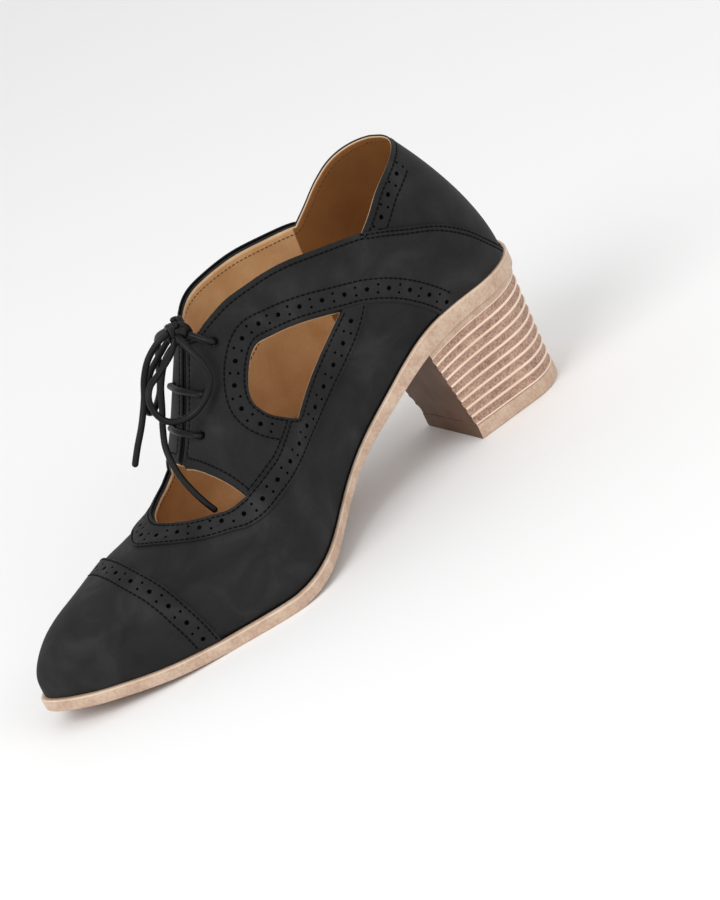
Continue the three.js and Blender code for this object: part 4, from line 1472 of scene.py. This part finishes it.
# Knot, by distances from its centre. Each wrap's middle and reach across, reach forward, reach up and phase
KNOT_CORE = ((-4.8, 0.9, -0.9), (-2.4, 0.2, 0.3), (0, 0, 0.8), (2.4, 0.2, 0.3), (4.8, 0.9, -0.9))
KNOT_CORE_RADIUS = 2.6
KNOT_OVER = ((-4.6, 0.5, -1.6), (-3.2, -1.6, 1.6), (0, -2.2, 2.8), (3.2, -1.6, 1.6), (4.8, 0.5, -1.4))
KNOT_UNDER = ((-4.4, 1.2, 1.4), (-1.5, 1.8, -0.8), (1.5, 1.8, -1.6), (4.6, 1.0, 1.2))
KNOT_WRAPS = (
    (0, 2.3, 2.6, 3.4, -math.pi / 2),
    (2.6, 0.9, 2.9, 3.6, 0.5),
    (-2.6, 0.9, 2.7, 3.5, -0.5),
)


def strand(points):
    """A lace through points of the row frame."""
    return lace_line([(p[0], LENGTH / 2 - p[1], p[2]) for p in points])[0]


knot_lines = []
for side in SIDES:
    start, lip, over = (spot_on(side, 0, h) for h in (-3 * WALL, 0, 1.2 * LACE))
    half = (spot_on(side, 0, 1.5 * LACE) + knot_centre) / 2
    knot_lines.append(strand([start, lip, over, half, knot_centre]))
turn = np.linspace(0, 2 * np.pi, 40)
for middle, across, forward, up_reach, phase in KNOT_WRAPS:
    loop = (middle + across * np.cos(turn), forward * np.sin(turn), up_reach * np.cos(turn + phase))
    knot_lines.append(knot_centre + np.stack(loop, -1))
for points in (KNOT_OVER, KNOT_UNDER):
    knot_lines.append(strand(knot_centre + np.array(points)))
knot_shell = Shell()
for line in knot_lines:
    tube(knot_shell, line, LACE / 2)
tube(knot_shell, strand(knot_centre + np.array(KNOT_CORE)), KNOT_CORE_RADIUS)
make_object("lace_knot_cord", knot_shell, [lace_black], ["lace_knot"], weld=0, sharp=80)

# Black bead in the joint between upper and sole: a dark piece that paints the shadow gap there
BEAD_WIDE, BEAD_TALL = 0.75, 0.5
BEAD_SIDES = 8
bead_line = skin(np.vstack([feather_medial, feather_lateral[1:-1]]), UPPER_OUT + 0.15)
bead_line[:, 2] += 0.1
bead_shell = Shell()
bead_rings = []
bead_along = unit(np.roll(bead_line, -1, 0) - np.roll(bead_line, 1, 0))
turn = 2 * np.pi * np.arange(BEAD_SIDES) / BEAD_SIDES
wide = BEAD_WIDE * np.cos(turn)[:, None]
tall = BEAD_TALL * np.sin(turn)[:, None] * np.array((0, 0, 1))
for point, across in zip(bead_line, unit(np.cross(bead_along, (0, 0, 1)))):
    bead_rings.append(bead_shell.add_points(point + wide * across + tall))
for low, high in zip(bead_rings, bead_rings[1:] + bead_rings[:1]):
    bead_shell.band(low, high, 0, [True] * BEAD_SIDES)
make_object("feather_shadow_bead", bead_shell, [raw_edge_and_painted_shade], weld=0, sharp=80)

# Floor and light
floor_mesh = bpy.data.meshes.new("floor")
floor_mesh.from_pydata([(-9, -9, 0), (9, -9, 0), (9, 9, 0), (-9, 9, 0)], [], [(0, 1, 2, 3)])
floor_mesh.materials.append(new_material("floor_pale", (0.93, 0.93, 0.93), 0.9))
floor = bpy.data.objects.new("floor", floor_mesh)
bpy.context.scene.collection.objects.link(floor)

world = bpy.data.worlds.new("studio")
world.use_nodes = True
world.node_tree.nodes["Background"].inputs["Color"].default_value = (1, 1, 1, 1)
world.node_tree.nodes["Background"].inputs["Strength"].default_value = 0.75
bpy.context.scene.world = world


def area_light(name, place, target, size, power):
    data = bpy.data.lights.new(name, "AREA")
    data.size = size
    data.energy = power
    light = bpy.data.objects.new(name, data)
    light.location = place
    light.rotation_euler = (Vector(target) - Vector(place)).to_track_quat("-Z", "Y").to_euler()
    bpy.context.scene.collection.objects.link(light)


area_light("key", (0.5, -1.2, 1.3), (0, 0, 0.04), 1.0, 14)
area_light("fill", (1.6, 0.6, 0.8), (0, 0, 0.04), 1.2, 6)
bpy.context.scene.view_settings.view_transform = "Standard"
